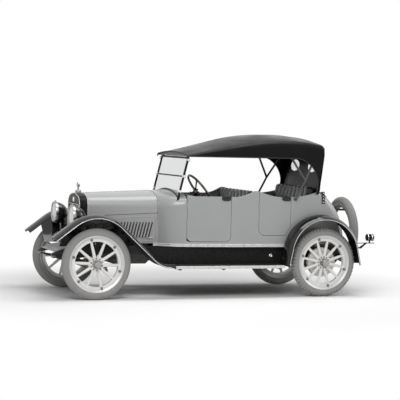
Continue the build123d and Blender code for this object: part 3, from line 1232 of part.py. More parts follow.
# Tail lamp on the left rear fender
TAIL_Y = 690
TAIL_Z = 725
with BuildPart() as tail_lamp:
    end_x = -LENGTH / 2
    root_x = REAR_FENDER_X - REAR_FENDER_RADIUS - REAR_CROWN + 24
    with Locations((end_x, TAIL_Y, TAIL_Z - 70)):
        Box(root_x - end_x, 34, 8, align=(Align.MIN, Align.CENTER, Align.CENTER))
    with Locations((end_x + 62, TAIL_Y, TAIL_Z - 72)):
        Cylinder(10, 60, align=(Align.CENTER, Align.CENTER, Align.MIN))
    with Locations(Plane((end_x + 10, TAIL_Y, TAIL_Z), z_dir=(1, 0, 0))):
        Cylinder(42, 90, align=(Align.CENTER, Align.CENTER, Align.MIN))
    add(rear_fenders.part, mode=Mode.SUBTRACT)
save(tail_lamp, "tail_lamp")
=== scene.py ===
import math
from math import cos, pi, radians, sin, sqrt, tan

import bmesh
import bpy
from mathutils import Matrix, Vector
from mathutils.bvhtree import BVHTree


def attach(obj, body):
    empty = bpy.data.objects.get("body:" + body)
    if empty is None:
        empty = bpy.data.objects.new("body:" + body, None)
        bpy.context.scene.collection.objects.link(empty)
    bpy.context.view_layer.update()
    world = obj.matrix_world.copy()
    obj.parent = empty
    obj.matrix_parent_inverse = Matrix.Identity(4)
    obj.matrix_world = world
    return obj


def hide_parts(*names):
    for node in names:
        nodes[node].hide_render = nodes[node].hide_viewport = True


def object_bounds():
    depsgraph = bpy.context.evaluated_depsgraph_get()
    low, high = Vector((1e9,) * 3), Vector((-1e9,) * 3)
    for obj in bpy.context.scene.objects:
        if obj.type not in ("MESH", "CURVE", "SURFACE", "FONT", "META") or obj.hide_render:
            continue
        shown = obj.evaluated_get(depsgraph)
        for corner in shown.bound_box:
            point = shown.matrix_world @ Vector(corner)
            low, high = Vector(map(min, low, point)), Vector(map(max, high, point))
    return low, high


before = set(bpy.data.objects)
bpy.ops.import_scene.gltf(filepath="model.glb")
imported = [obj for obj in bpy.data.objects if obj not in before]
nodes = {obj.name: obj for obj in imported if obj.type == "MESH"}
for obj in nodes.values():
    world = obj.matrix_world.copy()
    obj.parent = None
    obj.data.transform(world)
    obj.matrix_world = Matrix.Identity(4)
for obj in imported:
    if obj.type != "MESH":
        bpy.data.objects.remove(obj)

scene = bpy.context.scene
cad_low, cad_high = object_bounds()
SIDES = {"left": 1, "right": -1}

# Stations of the car, in metres, as in the part's source
FRONT_AXLE_X = 1.53796
REAR_AXLE_X = FRONT_AXLE_X - 2.896
HUB_Z = 0.419
WHEEL_Y = 0.711
RADIATOR_FRONT_X = FRONT_AXLE_X + 0.096
RADIATOR_BACK_X = RADIATOR_FRONT_X - 0.108
COWL_FRONT_X = RADIATOR_BACK_X - 0.846
COWL_BACK_X = COWL_FRONT_X - 0.305
FRONT_DOOR_X = COWL_BACK_X - 0.005
REAR_DOOR_X = FRONT_DOOR_X - 0.91
REAR_DOOR_END = REAR_DOOR_X - 0.417
BODY_BACK_X = REAR_AXLE_X - 0.394
BELT_Z = 1.213


# Meshes

def mesh_object(name, bm):
    """An object in the scene with the mesh built so far."""
    mesh = bpy.data.meshes.new(name)
    bm.to_mesh(mesh)
    bm.free()
    obj = bpy.data.objects.new(name, mesh)
    scene.collection.objects.link(obj)
    return obj


def smooth_shade(mesh, sharp):
    """Smooth shading, with creases where faces meet at more than the sharp angle."""
    mesh.polygons.foreach_set("use_smooth", [True] * len(mesh.polygons))
    mesh.set_sharp_from_angle(angle=radians(sharp))


def piece(name, bm, finish, body, sharp=35):
    """A finished mesh that rides on a body, with the finish it is given."""
    bmesh.ops.recalc_face_normals(bm, faces=bm.faces)
    obj = mesh_object(name, bm)
    smooth_shade(obj.data, sharp)
    obj.data.materials.append(finish)
    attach(obj, body)
    return obj


def bridge(bm, rings, closed=False, caps=True):
    """Faces between rings of vertices, with the first and last filled."""
    count = len(rings[0])
    pairs = list(zip(rings, rings[1:]))
    if closed:
        pairs.append((rings[-1], rings[0]))
    for a, b in pairs:
        for i in range(count):
            j = (i + 1) % count
            bm.faces.new((a[i], a[j], b[j], b[i]))
    if caps and not closed:
        bm.faces.new(rings[0])
        bm.faces.new(rings[-1])


def ways_along(path, closed=False):
    """Each point of a path, with the way that the path runs there."""
    points = [Vector(p) for p in path]
    last = len(points) - 1
    for i, p in enumerate(points):
        before = points[i - 1] if i or closed else p
        after = points[(i + 1) % len(points)] if i < last or closed else p
        yield p, (after - before).normalized()


def around(count):
    """Cosine and sine of equal steps round a circle."""
    return [(cos(2 * pi * k / count), sin(2 * pi * k / count)) for k in range(count)]


def axes(axis):
    """An axis as a unit vector, and two more across it."""
    axis = Vector(axis).normalized()
    across = axis.orthogonal().normalized()
    return axis, across, axis.cross(across)


def tube(bm, path, radius, sides=8, closed=False):
    """A round rod along a path."""
    normal = None
    rings = []
    for p, way in ways_along(path, closed):
        if normal is None:
            normal = way.orthogonal().normalized()
        normal = (normal - way * normal.dot(way)).normalized()
        side = way.cross(normal)
        rings.append([bm.verts.new(p + (normal * c + side * s) * radius) for c, s in around(sides)])
    bridge(bm, rings, closed)


def strip(bm, path, outward, profile):
    """A moulding along a path: profile points are (out, up), with out along outward and up across it."""
    rings = []
    for p, way in ways_along(path):
        out = Vector(outward)
        out = (out - way * out.dot(way)).normalized()
        up = way.cross(out)
        rings.append([bm.verts.new(p + out * a + up * b) for a, b in profile])
    bridge(bm, rings)


LEAST_RADIUS = 0.0004


def turned(bm, at, axis, profile, sides=32):
    """A turned piece: profile points are (radius, distance along the axis)."""
    axis, across, up = axes(axis)
    at = Vector(at)
    rings = []
    for radius, along in profile:
        rings.append([bm.verts.new(at + axis * along + (across * c + up * s) * max(radius, LEAST_RADIUS))
                      for c, s in around(sides)])
    bridge(bm, rings)


def bolt(bm, at, axis, size):
    """A hexagon head on a washer."""
    turned(bm, at, axis, ((size * 1.25, 0), (size * 1.25, size * 0.22), (size, size * 0.25)), 16)
    turned(bm, at, axis, ((size, 0), (size, size * 0.75), (size * 0.78, size * 0.95), (size * 0.4, size * 1.0)), 6)


def rivet(bm, at, axis, size):
    """A round head."""
    turned(bm, at, axis, ((size, 0), (size * 0.94, size * 0.35), (size * 0.62, size * 0.7), (0, size * 0.8)), 10)


def block(bm, centre, size, turn=None, bevel=0.0):
    """A box with eased edges, turned by a matrix."""
    made = bmesh.ops.create_cube(bm, size=1.0)["verts"]
    bmesh.ops.scale(bm, vec=Vector(size), verts=made)
    if bevel:
        edges = list(dict.fromkeys(e for v in made for e in v.link_edges))
        made = bmesh.ops.bevel(bm, geom=edges, offset=bevel, segments=2, affect="EDGES")["verts"]
    if turn is not None:
        bmesh.ops.rotate(bm, cent=(0, 0, 0), matrix=turn, verts=made)
    bmesh.ops.translate(bm, vec=Vector(centre), verts=made)


def arc(centre, radius, first, last, count):
    """Points (x, z) of an arc in side view, angles in degrees from straight ahead."""
    cx, cz = centre
    return [(cx + radius * cos(radians(first + (last - first) * i / count)),
             cz + radius * sin(radians(first + (last - first) * i / count))) for i in range(count + 1)]


def circle_centre(a, b, c):
    """Centre of the circle through three points of a plane."""
    ax, az = a
    bx, bz = b
    cx, cz = c
    d = 2 * (ax * (bz - cz) + bx * (cz - az) + cx * (az - bz))
    sa, sb, sc = ax * ax + az * az, bx * bx + bz * bz, cx * cx + cz * cz
    return ((sa * (bz - cz) + sb * (cz - az) + sc * (az - bz)) / d,
            (sa * (cx - bx) + sb * (ax - cx) + sc * (bx - ax)) / d)


def through(a, b, c, count):
    """Points (x, z) of the arc from a through b to c."""
    ax, az = a
    bx, bz = b
    cx, cz = c
    ox, oz = circle_centre(a, b, c)
    radius = math.hypot(ax - ox, az - oz)
    start = math.atan2(az - oz, ax - ox)
    mid = (math.atan2(bz - oz, bx - ox) - start) % (2 * pi)
    end = (math.atan2(cz - oz, cx - ox) - start) % (2 * pi)
    if mid > end:
        end -= 2 * pi
    return [(ox + radius * cos(start + end * i / count), oz + radius * sin(start + end * i / count))
            for i in range(count + 1)]


# Finishes

def effect(name, inputs, outputs):
    """An empty shader node group with named sockets."""
    tree = bpy.data.node_groups.new(name, "ShaderNodeTree")
    for label, kind, value in inputs:
        tree.interface.new_socket(label, in_out="INPUT", socket_type=kind).default_value = value
    for label, kind in outputs:
        tree.interface.new_socket(label, in_out="OUTPUT", socket_type=kind)
    return tree, tree.nodes.new("NodeGroupInput"), tree.nodes.new("NodeGroupOutput")


def node(tree, kind, links=(), **values):
    """A node with its settings, and links given as (socket, source socket or value)."""
    made = tree.nodes.new(kind)
    for key, value in values.items():
        setattr(made, key, value)
    for socket, source in links:
        if isinstance(source, bpy.types.NodeSocket):
            tree.links.new(source, made.inputs[socket])
        else:
            made.inputs[socket].default_value = source
    return made


def maths(tree, operation, a, b, **values):
    """The result of a sum on two sockets or values."""
    return node(tree, "ShaderNodeMath", ((0, a), (1, b)), operation=operation, **values).outputs[0]


def ranged(tree, value, low, high, to_low=0.0, to_high=1.0, **values):
    """A value carried from one range to another."""
    return node(tree, "ShaderNodeMapRange", (("Value", value), ("From Min", low), ("From Max", high),
                                             ("To Min", to_low), ("To Max", to_high)), **values).outputs[0]


def noise(tree, scale, detail):
    """A noise in the object's own space."""
    place = node(tree, "ShaderNodeTexCoord")
    return node(tree, "ShaderNodeTexNoise", (("Vector", place.outputs["Object"]), ("Scale", scale),
                                             ("Detail", detail))).outputs["Fac"]


def blend(tree, mask, start, other):
    """The incoming colour mixed with another one by a mask."""
    return node(tree, "ShaderNodeMix",
                (("Factor", mask), ("A", start.outputs["Colour"]), ("B", start.outputs[other])),
                data_type="RGBA").outputs["Result"]


FLOAT, COLOUR = "NodeSocketFloat", "NodeSocketColor"


def make_mottle():
    """Slow drift of a colour over a surface."""
    tree, start, end = effect("colour_drift", (("Colour", COLOUR, (0.5, 0.5, 0.5, 1)), ("Amount", FLOAT, 0.1),
                                               ("Scale", FLOAT, 6.0)), (("Colour", COLOUR), ("Spread", FLOAT)))
    drift = noise(tree, start.outputs["Scale"], 5.0)
    amount = maths(tree, "MULTIPLY", maths(tree, "SUBTRACT", drift, 0.5), start.outputs["Amount"])
    lift = maths(tree, "ADD", amount, 1.0)
    tinted = node(tree, "ShaderNodeVectorMath", ((0, start.outputs["Colour"]), ("Scale", lift)), operation="SCALE")
    tree.links.new(tinted.outputs["Vector"], end.inputs["Colour"])
    tree.links.new(drift, end.inputs["Spread"])
    return tree


def make_wear_and_sheen():
    """Rubbed edges of a surface as a mask; on the black leather it also stands as a painted highlight on the pleat
    ridges.
    """
    tree, start, end = effect("edge_wear_and_sheen",
                              (("Colour", COLOUR, (0.5, 0.5, 0.5, 1)), ("Rub and sheen", COLOUR, (0.6, 0.6, 0.6, 1)),
                               ("Amount", FLOAT, 0.3)), (("Colour", COLOUR),))
    shape = node(tree, "ShaderNodeNewGeometry")
    edge = ranged(tree, shape.outputs["Pointiness"], 0.53, 0.6)
    rough = maths(tree, "MULTIPLY", edge, noise(tree, 38.0, 6.0))
    mask = maths(tree, "MULTIPLY", rough, start.outputs["Amount"], use_clamp=True)
    tree.links.new(blend(tree, mask, start, "Rub and sheen"), end.inputs["Colour"])
    return tree


def make_dust():
    """Road dust, thicker near the ground."""
    tree, start, end = effect("road_dust",
                              (("Colour", COLOUR, (0.5, 0.5, 0.5, 1)), ("Dust", COLOUR, (0.5, 0.48, 0.44, 1)),
                               ("Amount", FLOAT, 0.2), ("Top", FLOAT, 0.9)),
                              (("Colour", COLOUR), ("Mask", FLOAT)))
    place = node(tree, "ShaderNodeTexCoord")
    apart = node(tree, "ShaderNodeSeparateXYZ", ((0, place.outputs["Object"]),))
    low = ranged(tree, apart.outputs["Z"], start.outputs["Top"], 0.0)
    cloud = ranged(tree, noise(tree, 14.0, 7.0), 0.35, 0.7)
    mask = maths(tree, "MULTIPLY", maths(tree, "MULTIPLY", low, cloud), start.outputs["Amount"], use_clamp=True)
    tree.links.new(blend(tree, mask, start, "Dust"), end.inputs["Colour"])
    tree.links.new(mask, end.inputs["Mask"])
    return tree


def make_grain():
    """Pebbled leather grain as a height."""
    tree, start, end = effect("leather_grain", (("Scale", FLOAT, 260.0),), (("Height", FLOAT),))
    place = node(tree, "ShaderNodeTexCoord")
    cells = node(tree, "ShaderNodeTexVoronoi",
                 (("Vector", place.outputs["Object"]), ("Scale", start.outputs["Scale"])),
                 feature="SMOOTH_F1")
    both = maths(tree, "ADD", cells.outputs["Distance"], noise(tree, 40.0, 6.0))
    tree.links.new(both, end.inputs["Height"])
    return tree


def make_weave():
    """Plain weave as a height, with its threads along the object's axes."""
    tree, start, end = effect("cloth_weave", (("Threads", FLOAT, 420.0),), (("Height", FLOAT),))
    place = node(tree, "ShaderNodeTexCoord")
    waves = []
    for way in ("X", "Y", "Z"):
        wave = node(tree, "ShaderNodeTexWave",
                    (("Vector", place.outputs["Object"]), ("Scale", start.outputs["Threads"]),
                     ("Distortion", 0.6)), bands_direction=way)
        waves.append(wave.outputs["Fac"])
    both = maths(tree, "ADD", maths(tree, "MAXIMUM", waves[0], waves[1]), waves[2])
    tree.links.new(both, end.inputs["Height"])
    return tree


EFFECTS = {"drift": make_mottle(), "wear_sheen": make_wear_and_sheen(), "dust": make_dust(), "grain": make_grain(),
           "weave": make_weave()}


def finish(name, colour, roughness, metallic=0.0, coat=0.0, drift=(0.12, 6.0), worn_and_sheen=None, dust=0.0, dust_top=0.9,
           spread=0.12, bump=None, fine=(180.0, 0.02), gloss=0.5):
    """A surface finish: colour with drift, rubbed edges (on the leather also a painted highlight on its ridges) and
    dust, roughness that varies, and a bump.
    """
    made = bpy.data.materials.new(name)
    made.use_nodes = True
    tree = made.node_tree
    shader = tree.nodes["Principled BSDF"]
    for label, value in (("Metallic", metallic), ("Coat Weight", coat), ("Coat Roughness", 0.08),
                         ("Specular IOR Level", gloss)):
        shader.inputs[label].default_value = value
    base = node(tree, "ShaderNodeGroup", (("Colour", (*colour, 1)), ("Amount", drift[0]), ("Scale", drift[1])),
                node_tree=EFFECTS["drift"])
    shade = base.outputs["Colour"]
    if worn_and_sheen:
        rub_and_sheen = node(tree, "ShaderNodeGroup", (("Colour", shade), ("Rub and sheen", (*worn_and_sheen[0], 1)), ("Amount", worn_and_sheen[1])),
                   node_tree=EFFECTS["wear_sheen"])
        shade = rub_and_sheen.outputs["Colour"]
    rough = ranged(tree, base.outputs["Spread"], 0.2, 0.8, max(roughness - spread, 0.02),
                   min(roughness + spread, 1.0))
    if dust:
        road = node(tree, "ShaderNodeGroup", (("Colour", shade), ("Amount", dust), ("Top", dust_top)),
                    node_tree=EFFECTS["dust"])
        shade = road.outputs["Colour"]
        rough = maths(tree, "ADD", rough, road.outputs["Mask"], use_clamp=True)
    tree.links.new(shade, shader.inputs["Base Color"])
    tree.links.new(rough, shader.inputs["Roughness"])
    if bump:
        kind, scale, strength, distance = bump
        height = node(tree, "ShaderNodeGroup", ((0, scale),), node_tree=EFFECTS[kind]).outputs["Height"]
    else:
        height, strength, distance = noise(tree, fine[0], 4.0), fine[1], 0.001
    relief = node(tree, "ShaderNodeBump", (("Height", height), ("Strength", strength), ("Distance", distance)))
    tree.links.new(relief.outputs["Normal"], shader.inputs["Normal"])
    return made


def glass(name, colour, roughness):
    """Clear glass with faint smears in its roughness."""
    made = bpy.data.materials.new(name)
    made.use_nodes = True
    tree = made.node_tree
    shader = tree.nodes["Principled BSDF"]
    shader.inputs["Transmission Weight"].default_value = 1.0
    shader.inputs["IOR"].default_value = 1.12
    shader.inputs["Base Color"].default_value = (*colour, 1)
    smear = ranged(tree, noise(tree, 9.0, 5.0), 0.0, 1.0, roughness, roughness + 0.05)
    tree.links.new(smear, shader.inputs["Roughness"])
    return made


GREY = (0.335, 0.337, 0.34)
BLACK = (0.005, 0.005, 0.0055)
body_paint = finish("body_paint", GREY, 0.33, coat=0.35, drift=(0.06, 3.0), worn_and_sheen=((0.46, 0.46, 0.46), 0.25),
                    dust=0.06,
                    spread=0.05, fine=(320.0, 0.015))
black_enamel = finish("black_enamel", BLACK, 0.3, drift=(0.2, 5.0), worn_and_sheen=((0.08, 0.08, 0.08), 0.3), dust=0.01,
                      spread=0.06, fine=(260.0, 0.015), gloss=0.07)
fender_enamel = finish("fender_enamel", BLACK, 0.14, coat=0.4, drift=(0.2, 5.0), dust=0.008, spread=0.05,
                       fine=(260.0, 0.01),
                       gloss=0.3)
chassis_black = finish("chassis_black", (0.009, 0.009, 0.0095), 0.45, drift=(0.3, 9.0),
                       worn_and_sheen=((0.12, 0.115, 0.11), 0.7), dust=0.06, fine=(140.0, 0.12), gloss=0.3)
iron_paint = finish("iron_paint", (0.06, 0.06, 0.059), 0.4, drift=(0.2, 12.0), worn_and_sheen=((0.3, 0.3, 0.29), 0.6),
                    fine=(160.0, 0.06), gloss=0.3)
cast_iron = finish("cast_iron", (0.09, 0.09, 0.088), 0.6, metallic=0.3, drift=(0.35, 14.0), dust=0.25,
                   fine=(120.0, 0.3))
cream_paint = finish("cream_paint", (0.78, 0.775, 0.755), 0.36, coat=0.3, drift=(0.05, 8.0),
                     worn_and_sheen=((0.5, 0.47, 0.42), 0.3), dust=0.1, dust_top=0.8, fine=(90.0, 0.05))
rim_steel = finish("rim_steel", (0.56, 0.56, 0.55), 0.38, metallic=0.6, drift=(0.15, 18.0), dust=0.12,
                   fine=(240.0, 0.05))
tyre_rubber = finish("tyre_rubber", (0.27, 0.268, 0.262), 0.78, drift=(0.16, 11.0), dust=0.15, dust_top=0.6,
                     worn_and_sheen=((0.42, 0.415, 0.4), 0.5), fine=(210.0, 0.18), gloss=0.25)
nickel = finish("nickel_plate", (0.74, 0.73, 0.7), 0.16, metallic=1.0, drift=(0.06, 20.0), spread=0.06,
                fine=(300.0, 0.01))
# Painted shade: a darker copy of the nickel plate for the dark reflections in the hub caps, lamp rims and radiator
# cap.
shaded_nickel = finish("shaded_nickel", (0.36, 0.355, 0.345), 0.24, metallic=1.0, drift=(0.12, 24.0), spread=0.08,
                     fine=(280.0, 0.02))
board_cover = finish("board_cover", (0.02, 0.02, 0.02), 0.62, drift=(0.3, 16.0), dust=0.1, fine=(420.0, 0.3),
                     gloss=0.25)
# Painted highlight: the lighter rubbed colour on the leather's ridges stands partly for wear and partly for the sheen
# on the pleats.
black_leather = finish("black_leather", (0.007, 0.0068, 0.0066), 0.36, drift=(0.4, 12.0),
                       worn_and_sheen=((0.06, 0.058, 0.055), 0.8),
                       bump=("grain", 230.0, 0.35, 0.0012), gloss=0.32)
top_cloth = finish("top_cloth", (0.006, 0.006, 0.0063), 0.3, drift=(0.35, 4.0), bump=("weave", 170.0, 0.1, 0.0005),
                   gloss=0.1)
core_brass = finish("radiator_fins", (0.5, 0.49, 0.46), 0.4, metallic=0.7, drift=(0.25, 40.0), fine=(380.0, 0.2))
# Painted shade: near black for the shaded depth between the core's cells.
core_shade = finish("radiator_depth_shade", (0.03, 0.03, 0.028), 0.5, drift=(0.25, 40.0), fine=(380.0, 0.2), gloss=0.2)
dash_wood = finish("dash_wood", (0.09, 0.04, 0.018), 0.35, coat=0.5, drift=(0.7, 30.0), fine=(60.0, 0.08))
floor_wood = finish("floor_boards", (0.1, 0.075, 0.05), 0.6, drift=(0.6, 22.0), fine=(50.0, 0.15))
wheel_wood = finish("steering_wood", (0.03, 0.02, 0.016), 0.3, coat=0.6, drift=(0.5, 30.0), fine=(80.0, 0.05))
exhaust_steel = finish("exhaust_steel", (0.13, 0.115, 0.1), 0.55, metallic=0.8, drift=(0.5, 12.0), dust=0.3,
                       fine=(110.0, 0.25))
clear_glass = glass("clear_glass", (0.73, 0.735, 0.74), 0.01)
lens_glass = finish("lens_glass", (0.92, 0.92, 0.92), 0.3, coat=0.2, drift=(0.02, 40.0), fine=(60.0, 0.04))
ruby_glass = glass("ruby_glass", (0.35, 0.01, 0.012), 0.08)
# Bright trim for the running board edges and the core bezel, and painted highlights on the fender beads, the shell's
# edges and the sill moulding.
bright_trim_and_highlight = finish("bright_trim_and_highlight", (0.66, 0.66, 0.65), 0.3, metallic=0.2, drift=(0.06, 16.0), fine=(260.0, 0.02))
bolt_steel = finish("bolt_steel", (0.2, 0.2, 0.195), 0.35, metallic=0.8, drift=(0.2, 30.0), dust=0.15,
                    fine=(220.0, 0.06))
# Painted highlight: pale grey welts for the bright lines along the pleat seams.
welt_highlight = finish("welt_highlight", (0.34, 0.34, 0.33), 0.42, drift=(0.2, 30.0), bump=("grain", 300.0, 0.2, 0.0008))
binding_cloth = finish("binding_cloth", (0.02, 0.02, 0.0205), 0.6, drift=(0.2, 14.0),
                       bump=("weave", 300.0, 0.25, 0.0006), gloss=0.3)
# Black for the dial hands and the rubber strip between the panes, and painted shade in the louvre slots.
black_and_slot_shade = finish("black_and_slot_shade", (0.01, 0.01, 0.01), 0.6, drift=(0.3, 20.0))
reflector_silver = finish("reflector_silver", (0.9, 0.9, 0.89), 0.08, metallic=1.0, drift=(0.02, 10.0), spread=0.03,
                          fine=(90.0, 0.01))
dial_white = finish("dial_white", (0.72, 0.71, 0.68), 0.5, drift=(0.05, 60.0))

NODE_FINISH = {
    body_paint: ("hood_left", "hood_right", "hood_sides", "cowl", "body_sides", "rear_tub", "front_apron",
                 "door_front_left", "door_front_right", "door_rear_left", "door_rear_right"),
    fender_enamel: ("front_fenders", "rear_fenders", "headlamps"),
    black_enamel: ("splash_aprons", "radiator_shell", "windscreen_frame", "tail_lamp"),
    chassis_black: ("frame", "front_axle", "rear_axle", "leaf_springs", "knuckle_left", "knuckle_right", "tie_rod",
                    "fuel_tank", "spare_carrier", "seat_frames", "steering_column"),
    iron_paint: ("top_bows",),
    cast_iron: ("engine",),
    cream_paint: ("wheel_front_left", "wheel_front_right", "wheel_rear_left", "wheel_rear_right"),
    tyre_rubber: ("tyre_front_left", "tyre_front_right", "tyre_rear_left", "tyre_rear_right", "spare_tyre"),
    nickel: ("controls",),
    shaded_nickel: ("radiator_cap",),
    board_cover: ("running_boards",),
    black_leather: ("seat_cushions", "seat_backs"),
    top_cloth: ("canopy",),
    core_shade: ("radiator_core",),
    dash_wood: ("dashboard",),
    floor_wood: ("floor",),
    wheel_wood: ("steering_wheel",),
    exhaust_steel: ("exhaust",),
    clear_glass: ("windscreen_glass", "back_lights"),
    lens_glass: ("headlamp_lenses",),
}
for coat, names in NODE_FINISH.items():
    for name in names:
        nodes[name].data.materials.clear()
        nodes[name].data.materials.append(coat)


# Shared lines of the car

def curve_through(xs, ys, x):
    """The smooth curve through points with these xs and ys, at x."""
    return sum(y * math.prod((x - xs[j]) / (xs[i] - xs[j]) for j in range(len(xs)) if j != i)
               for i, y in enumerate(ys))


COWL_FRONT_HALF, COWL_BACK_HALF, BODY_MIDDLE_HALF, BODY_BACK_HALF = 0.372, 0.56, 0.612, 0.54


def body_half(x):
    """Half width of the body side at x, on the arc through three half widths."""
    ax, ay = COWL_BACK_X, COWL_BACK_HALF
    ox, oy = circle_centre((ax, ay), ((COWL_BACK_X + BODY_BACK_X) / 2, BODY_MIDDLE_HALF),
                           (BODY_BACK_X, BODY_BACK_HALF))
    return oy + sqrt((ax - ox) ** 2 + (ay - oy) ** 2 - (x - ox) ** 2)


def cowl_half(x):
    """Half width of the cowl and the body at x."""
    if x <= COWL_BACK_X:
        return body_half(x)
    return curve_through((COWL_FRONT_X, COWL_BACK_X + 0.08, COWL_BACK_X), (COWL_FRONT_HALF, 0.54, COWL_BACK_HALF), x)


def hood_share(x):
    return (RADIATOR_BACK_X - x) / (RADIATOR_BACK_X - COWL_FRONT_X)


HOOD_FRONT_HALF, HOOD_SPREAD = 0.27, 0.102


def hood_half(x):
    return HOOD_FRONT_HALF + HOOD_SPREAD * hood_share(x)


def arch_path(half, bottom, eave, crown, shoulder, inset=0.0, turn=8, top=20):
    """Points (y, z) of an upright-sided arch with rounded shoulders, from the left foot to the right."""
    half, eave, crown, shoulder = half - inset, eave - inset, crown - inset, shoulder - inset
    rise = crown - eave
    big = (half * half + rise * rise) / (2 * rise)
    low = crown - big
    fy = half - shoulder
    fz = low + sqrt((big - shoulder) ** 2 - fy * fy)
    lean = math.atan2(fz - low, fy)
    points = [(half, bottom)]
    points += [(fy + shoulder * cos(lean * i / turn), fz + shoulder * sin(lean * i / turn)) for i in range(turn + 1)]
    points += [(big * cos(lean + (pi / 2 - lean) * i / top), low + big * sin(lean + (pi / 2 - lean) * i / top))
               for i in range(1, top + 1)]
    return points + [(-y, z) for y, z in reversed(points[:-1])]


def loft_rings(bm, rows, closed=False, caps=True):
    """Faces between rings of points."""
    bridge(bm, [[bm.verts.new(p) for p in row] for row in rows], closed, caps)


def hoop(bm, at, axis, profile, sides=72):
    """A ring turned about an axis: profile points are (radius, distance along the axis), in a closed loop."""
    axis, across, up = axes(axis)
    at = Vector(at)
    rows = []
    for c, s in around(sides):
        out = across * c + up * s
        rows.append([at + out * a + axis * b for a, b in profile])
    loft_rings(bm, rows, closed=True)


def ring_line(at, axis, radius, along, angle):
    """A point on a wheel, and the way out from its hub, at an angle from straight ahead."""
    out = Vector((cos(radians(angle)), 0, sin(radians(angle))))
    return Vector(at) + out * radius + Vector(axis) * along, out


# Tyres

TYRE_RADIUS = 0.419
RIM_RADIUS = 0.317
NON_SKID_PITCHES = 58
RIB_STEPS = 144
BLOCK_DEPTH, RIB_DEPTH = 0.013, 0.0035


def tyre_profile(crown_steps):
    """Tyre section from bead to bead as (radius, across, share of tread)."""
    wall = through((RIM_RADIUS, 0.039), (0.364, 0.052), (0.408, 0.0333), 12)
    crown = through((0.408, 0.0333), (TYRE_RADIUS, 0), (0.408, -0.0333), crown_steps)
    ribs = {1: -0.0025, 2: 0.0005, 3: -0.0012, 8: 0.0012}
    half = [(r, y + ribs.get(i, 0.0), {9: 0.3, 10: 0.7, 11: 0.9}.get(i, 0.0)) for i, (r, y) in enumerate(wall[:-1])]
    middle = [(r, y, 1.0) for r, y in crown]
    return half + middle + [(r, -y, t) for r, y, t in reversed(half)]


def tyre(name, at, axis, body, replaced, non_skid):
    """A tyre with a block tread behind or a ribbed one ahead."""
    bm = bmesh.new()
    axis, across, up = axes(axis)
    profile = tyre_profile(16 if non_skid else 24)
    rows = []
    steps = [(i + f) / NON_SKID_PITCHES for i in range(NON_SKID_PITCHES) for f in (0.02, 0.46, 0.52, 0.96)]
    for k, turn in enumerate(steps if non_skid else [i / RIB_STEPS for i in range(RIB_STEPS)]):
        out = across * cos(2 * pi * turn) + up * sin(2 * pi * turn)
        row = []
        for i, (r, y, tread) in enumerate(profile):
            cut = 0.0
            if non_skid and tread and abs(y) > 0.006:
                cut = BLOCK_DEPTH * tread * ((k % 4 < 2) == (y > 0))
            elif not non_skid and tread == 1.0 and i in (16, 20, 28, 32):
                cut = RIB_DEPTH
            row.append(Vector(at) + out * (r - cut) + axis * y)
        rows.append(row)
    loft_rings(bm, rows, closed=True)
    made = piece(name, bm, tyre_rubber, body, 28)
    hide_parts(replaced)


SPARE_LEAN = radians(2)
SPARE_AT = Vector((REAR_AXLE_X - 0.585, 0, 0.779))
SPARE_AXIS = Vector((-cos(SPARE_LEAN), 0, sin(SPARE_LEAN)))
AXLES = {"front": (FRONT_AXLE_X, 10, 0.89), "rear": (REAR_AXLE_X, 12, 0.59)}


def all_tyres():
    for end in AXLES:
        axle_x = AXLES[end][0]
        for side, sign in SIDES.items():
            node_name = f"tyre_{end}_{side}"
            tyre(f"tread_{end}_{side}", (axle_x, sign * WHEEL_Y, HUB_Z), (0, sign, 0), f"wheel_{end}_{side}",
                 node_name, end == "rear")
    tyre("tread_spare", SPARE_AT, SPARE_AXIS, "chassis", "spare_tyre", False)


# Wheel fittings

RIM_LIP = ((0.300, 0.0255), (0.313, 0.0265), (0.322, 0.0395), (0.330, 0.0445), (0.3345, 0.0435), (0.336, 0.0395),
           (0.3385, 0.0405), (0.3375, 0.0462), (0.331, 0.049), (0.322, 0.0455), (0.309, 0.0345), (0.300, 0.0325))
HUB_CAP = ((0.0495, 0.045), (0.0515, 0.049), (0.0515, 0.056), (0.049, 0.058), (0.049, 0.070), (0.0465, 0.077),
           (0.043, 0.0935), (0.0385, 0.0985), (0.024, 0.1005), (0.0, 0.101))
LUGS = 6


def lug(bm, at, axis, angle, radius, face):
    """A rim wedge with its nut."""
    spot, out = ring_line(at, axis, radius, face, angle)
    along = Vector(axis)
    side = out.cross(along)
    turn = Matrix((side, along, out)).transposed()
    block(bm, spot, (0.03, 0.013, 0.026), turn, 0.003)
    block(bm, spot + out * 0.016 + along * 0.004, (0.022, 0.016, 0.014), turn, 0.003)
    bolt(bm, spot + along * 0.006, along, 0.0075)


def rim_lips(bm, at, axis):
    """Both lips of a demountable rim."""
    for face in (1, -1):
        hoop(bm, at, axis, [(r, face * y) for r, y in RIM_LIP], 96)


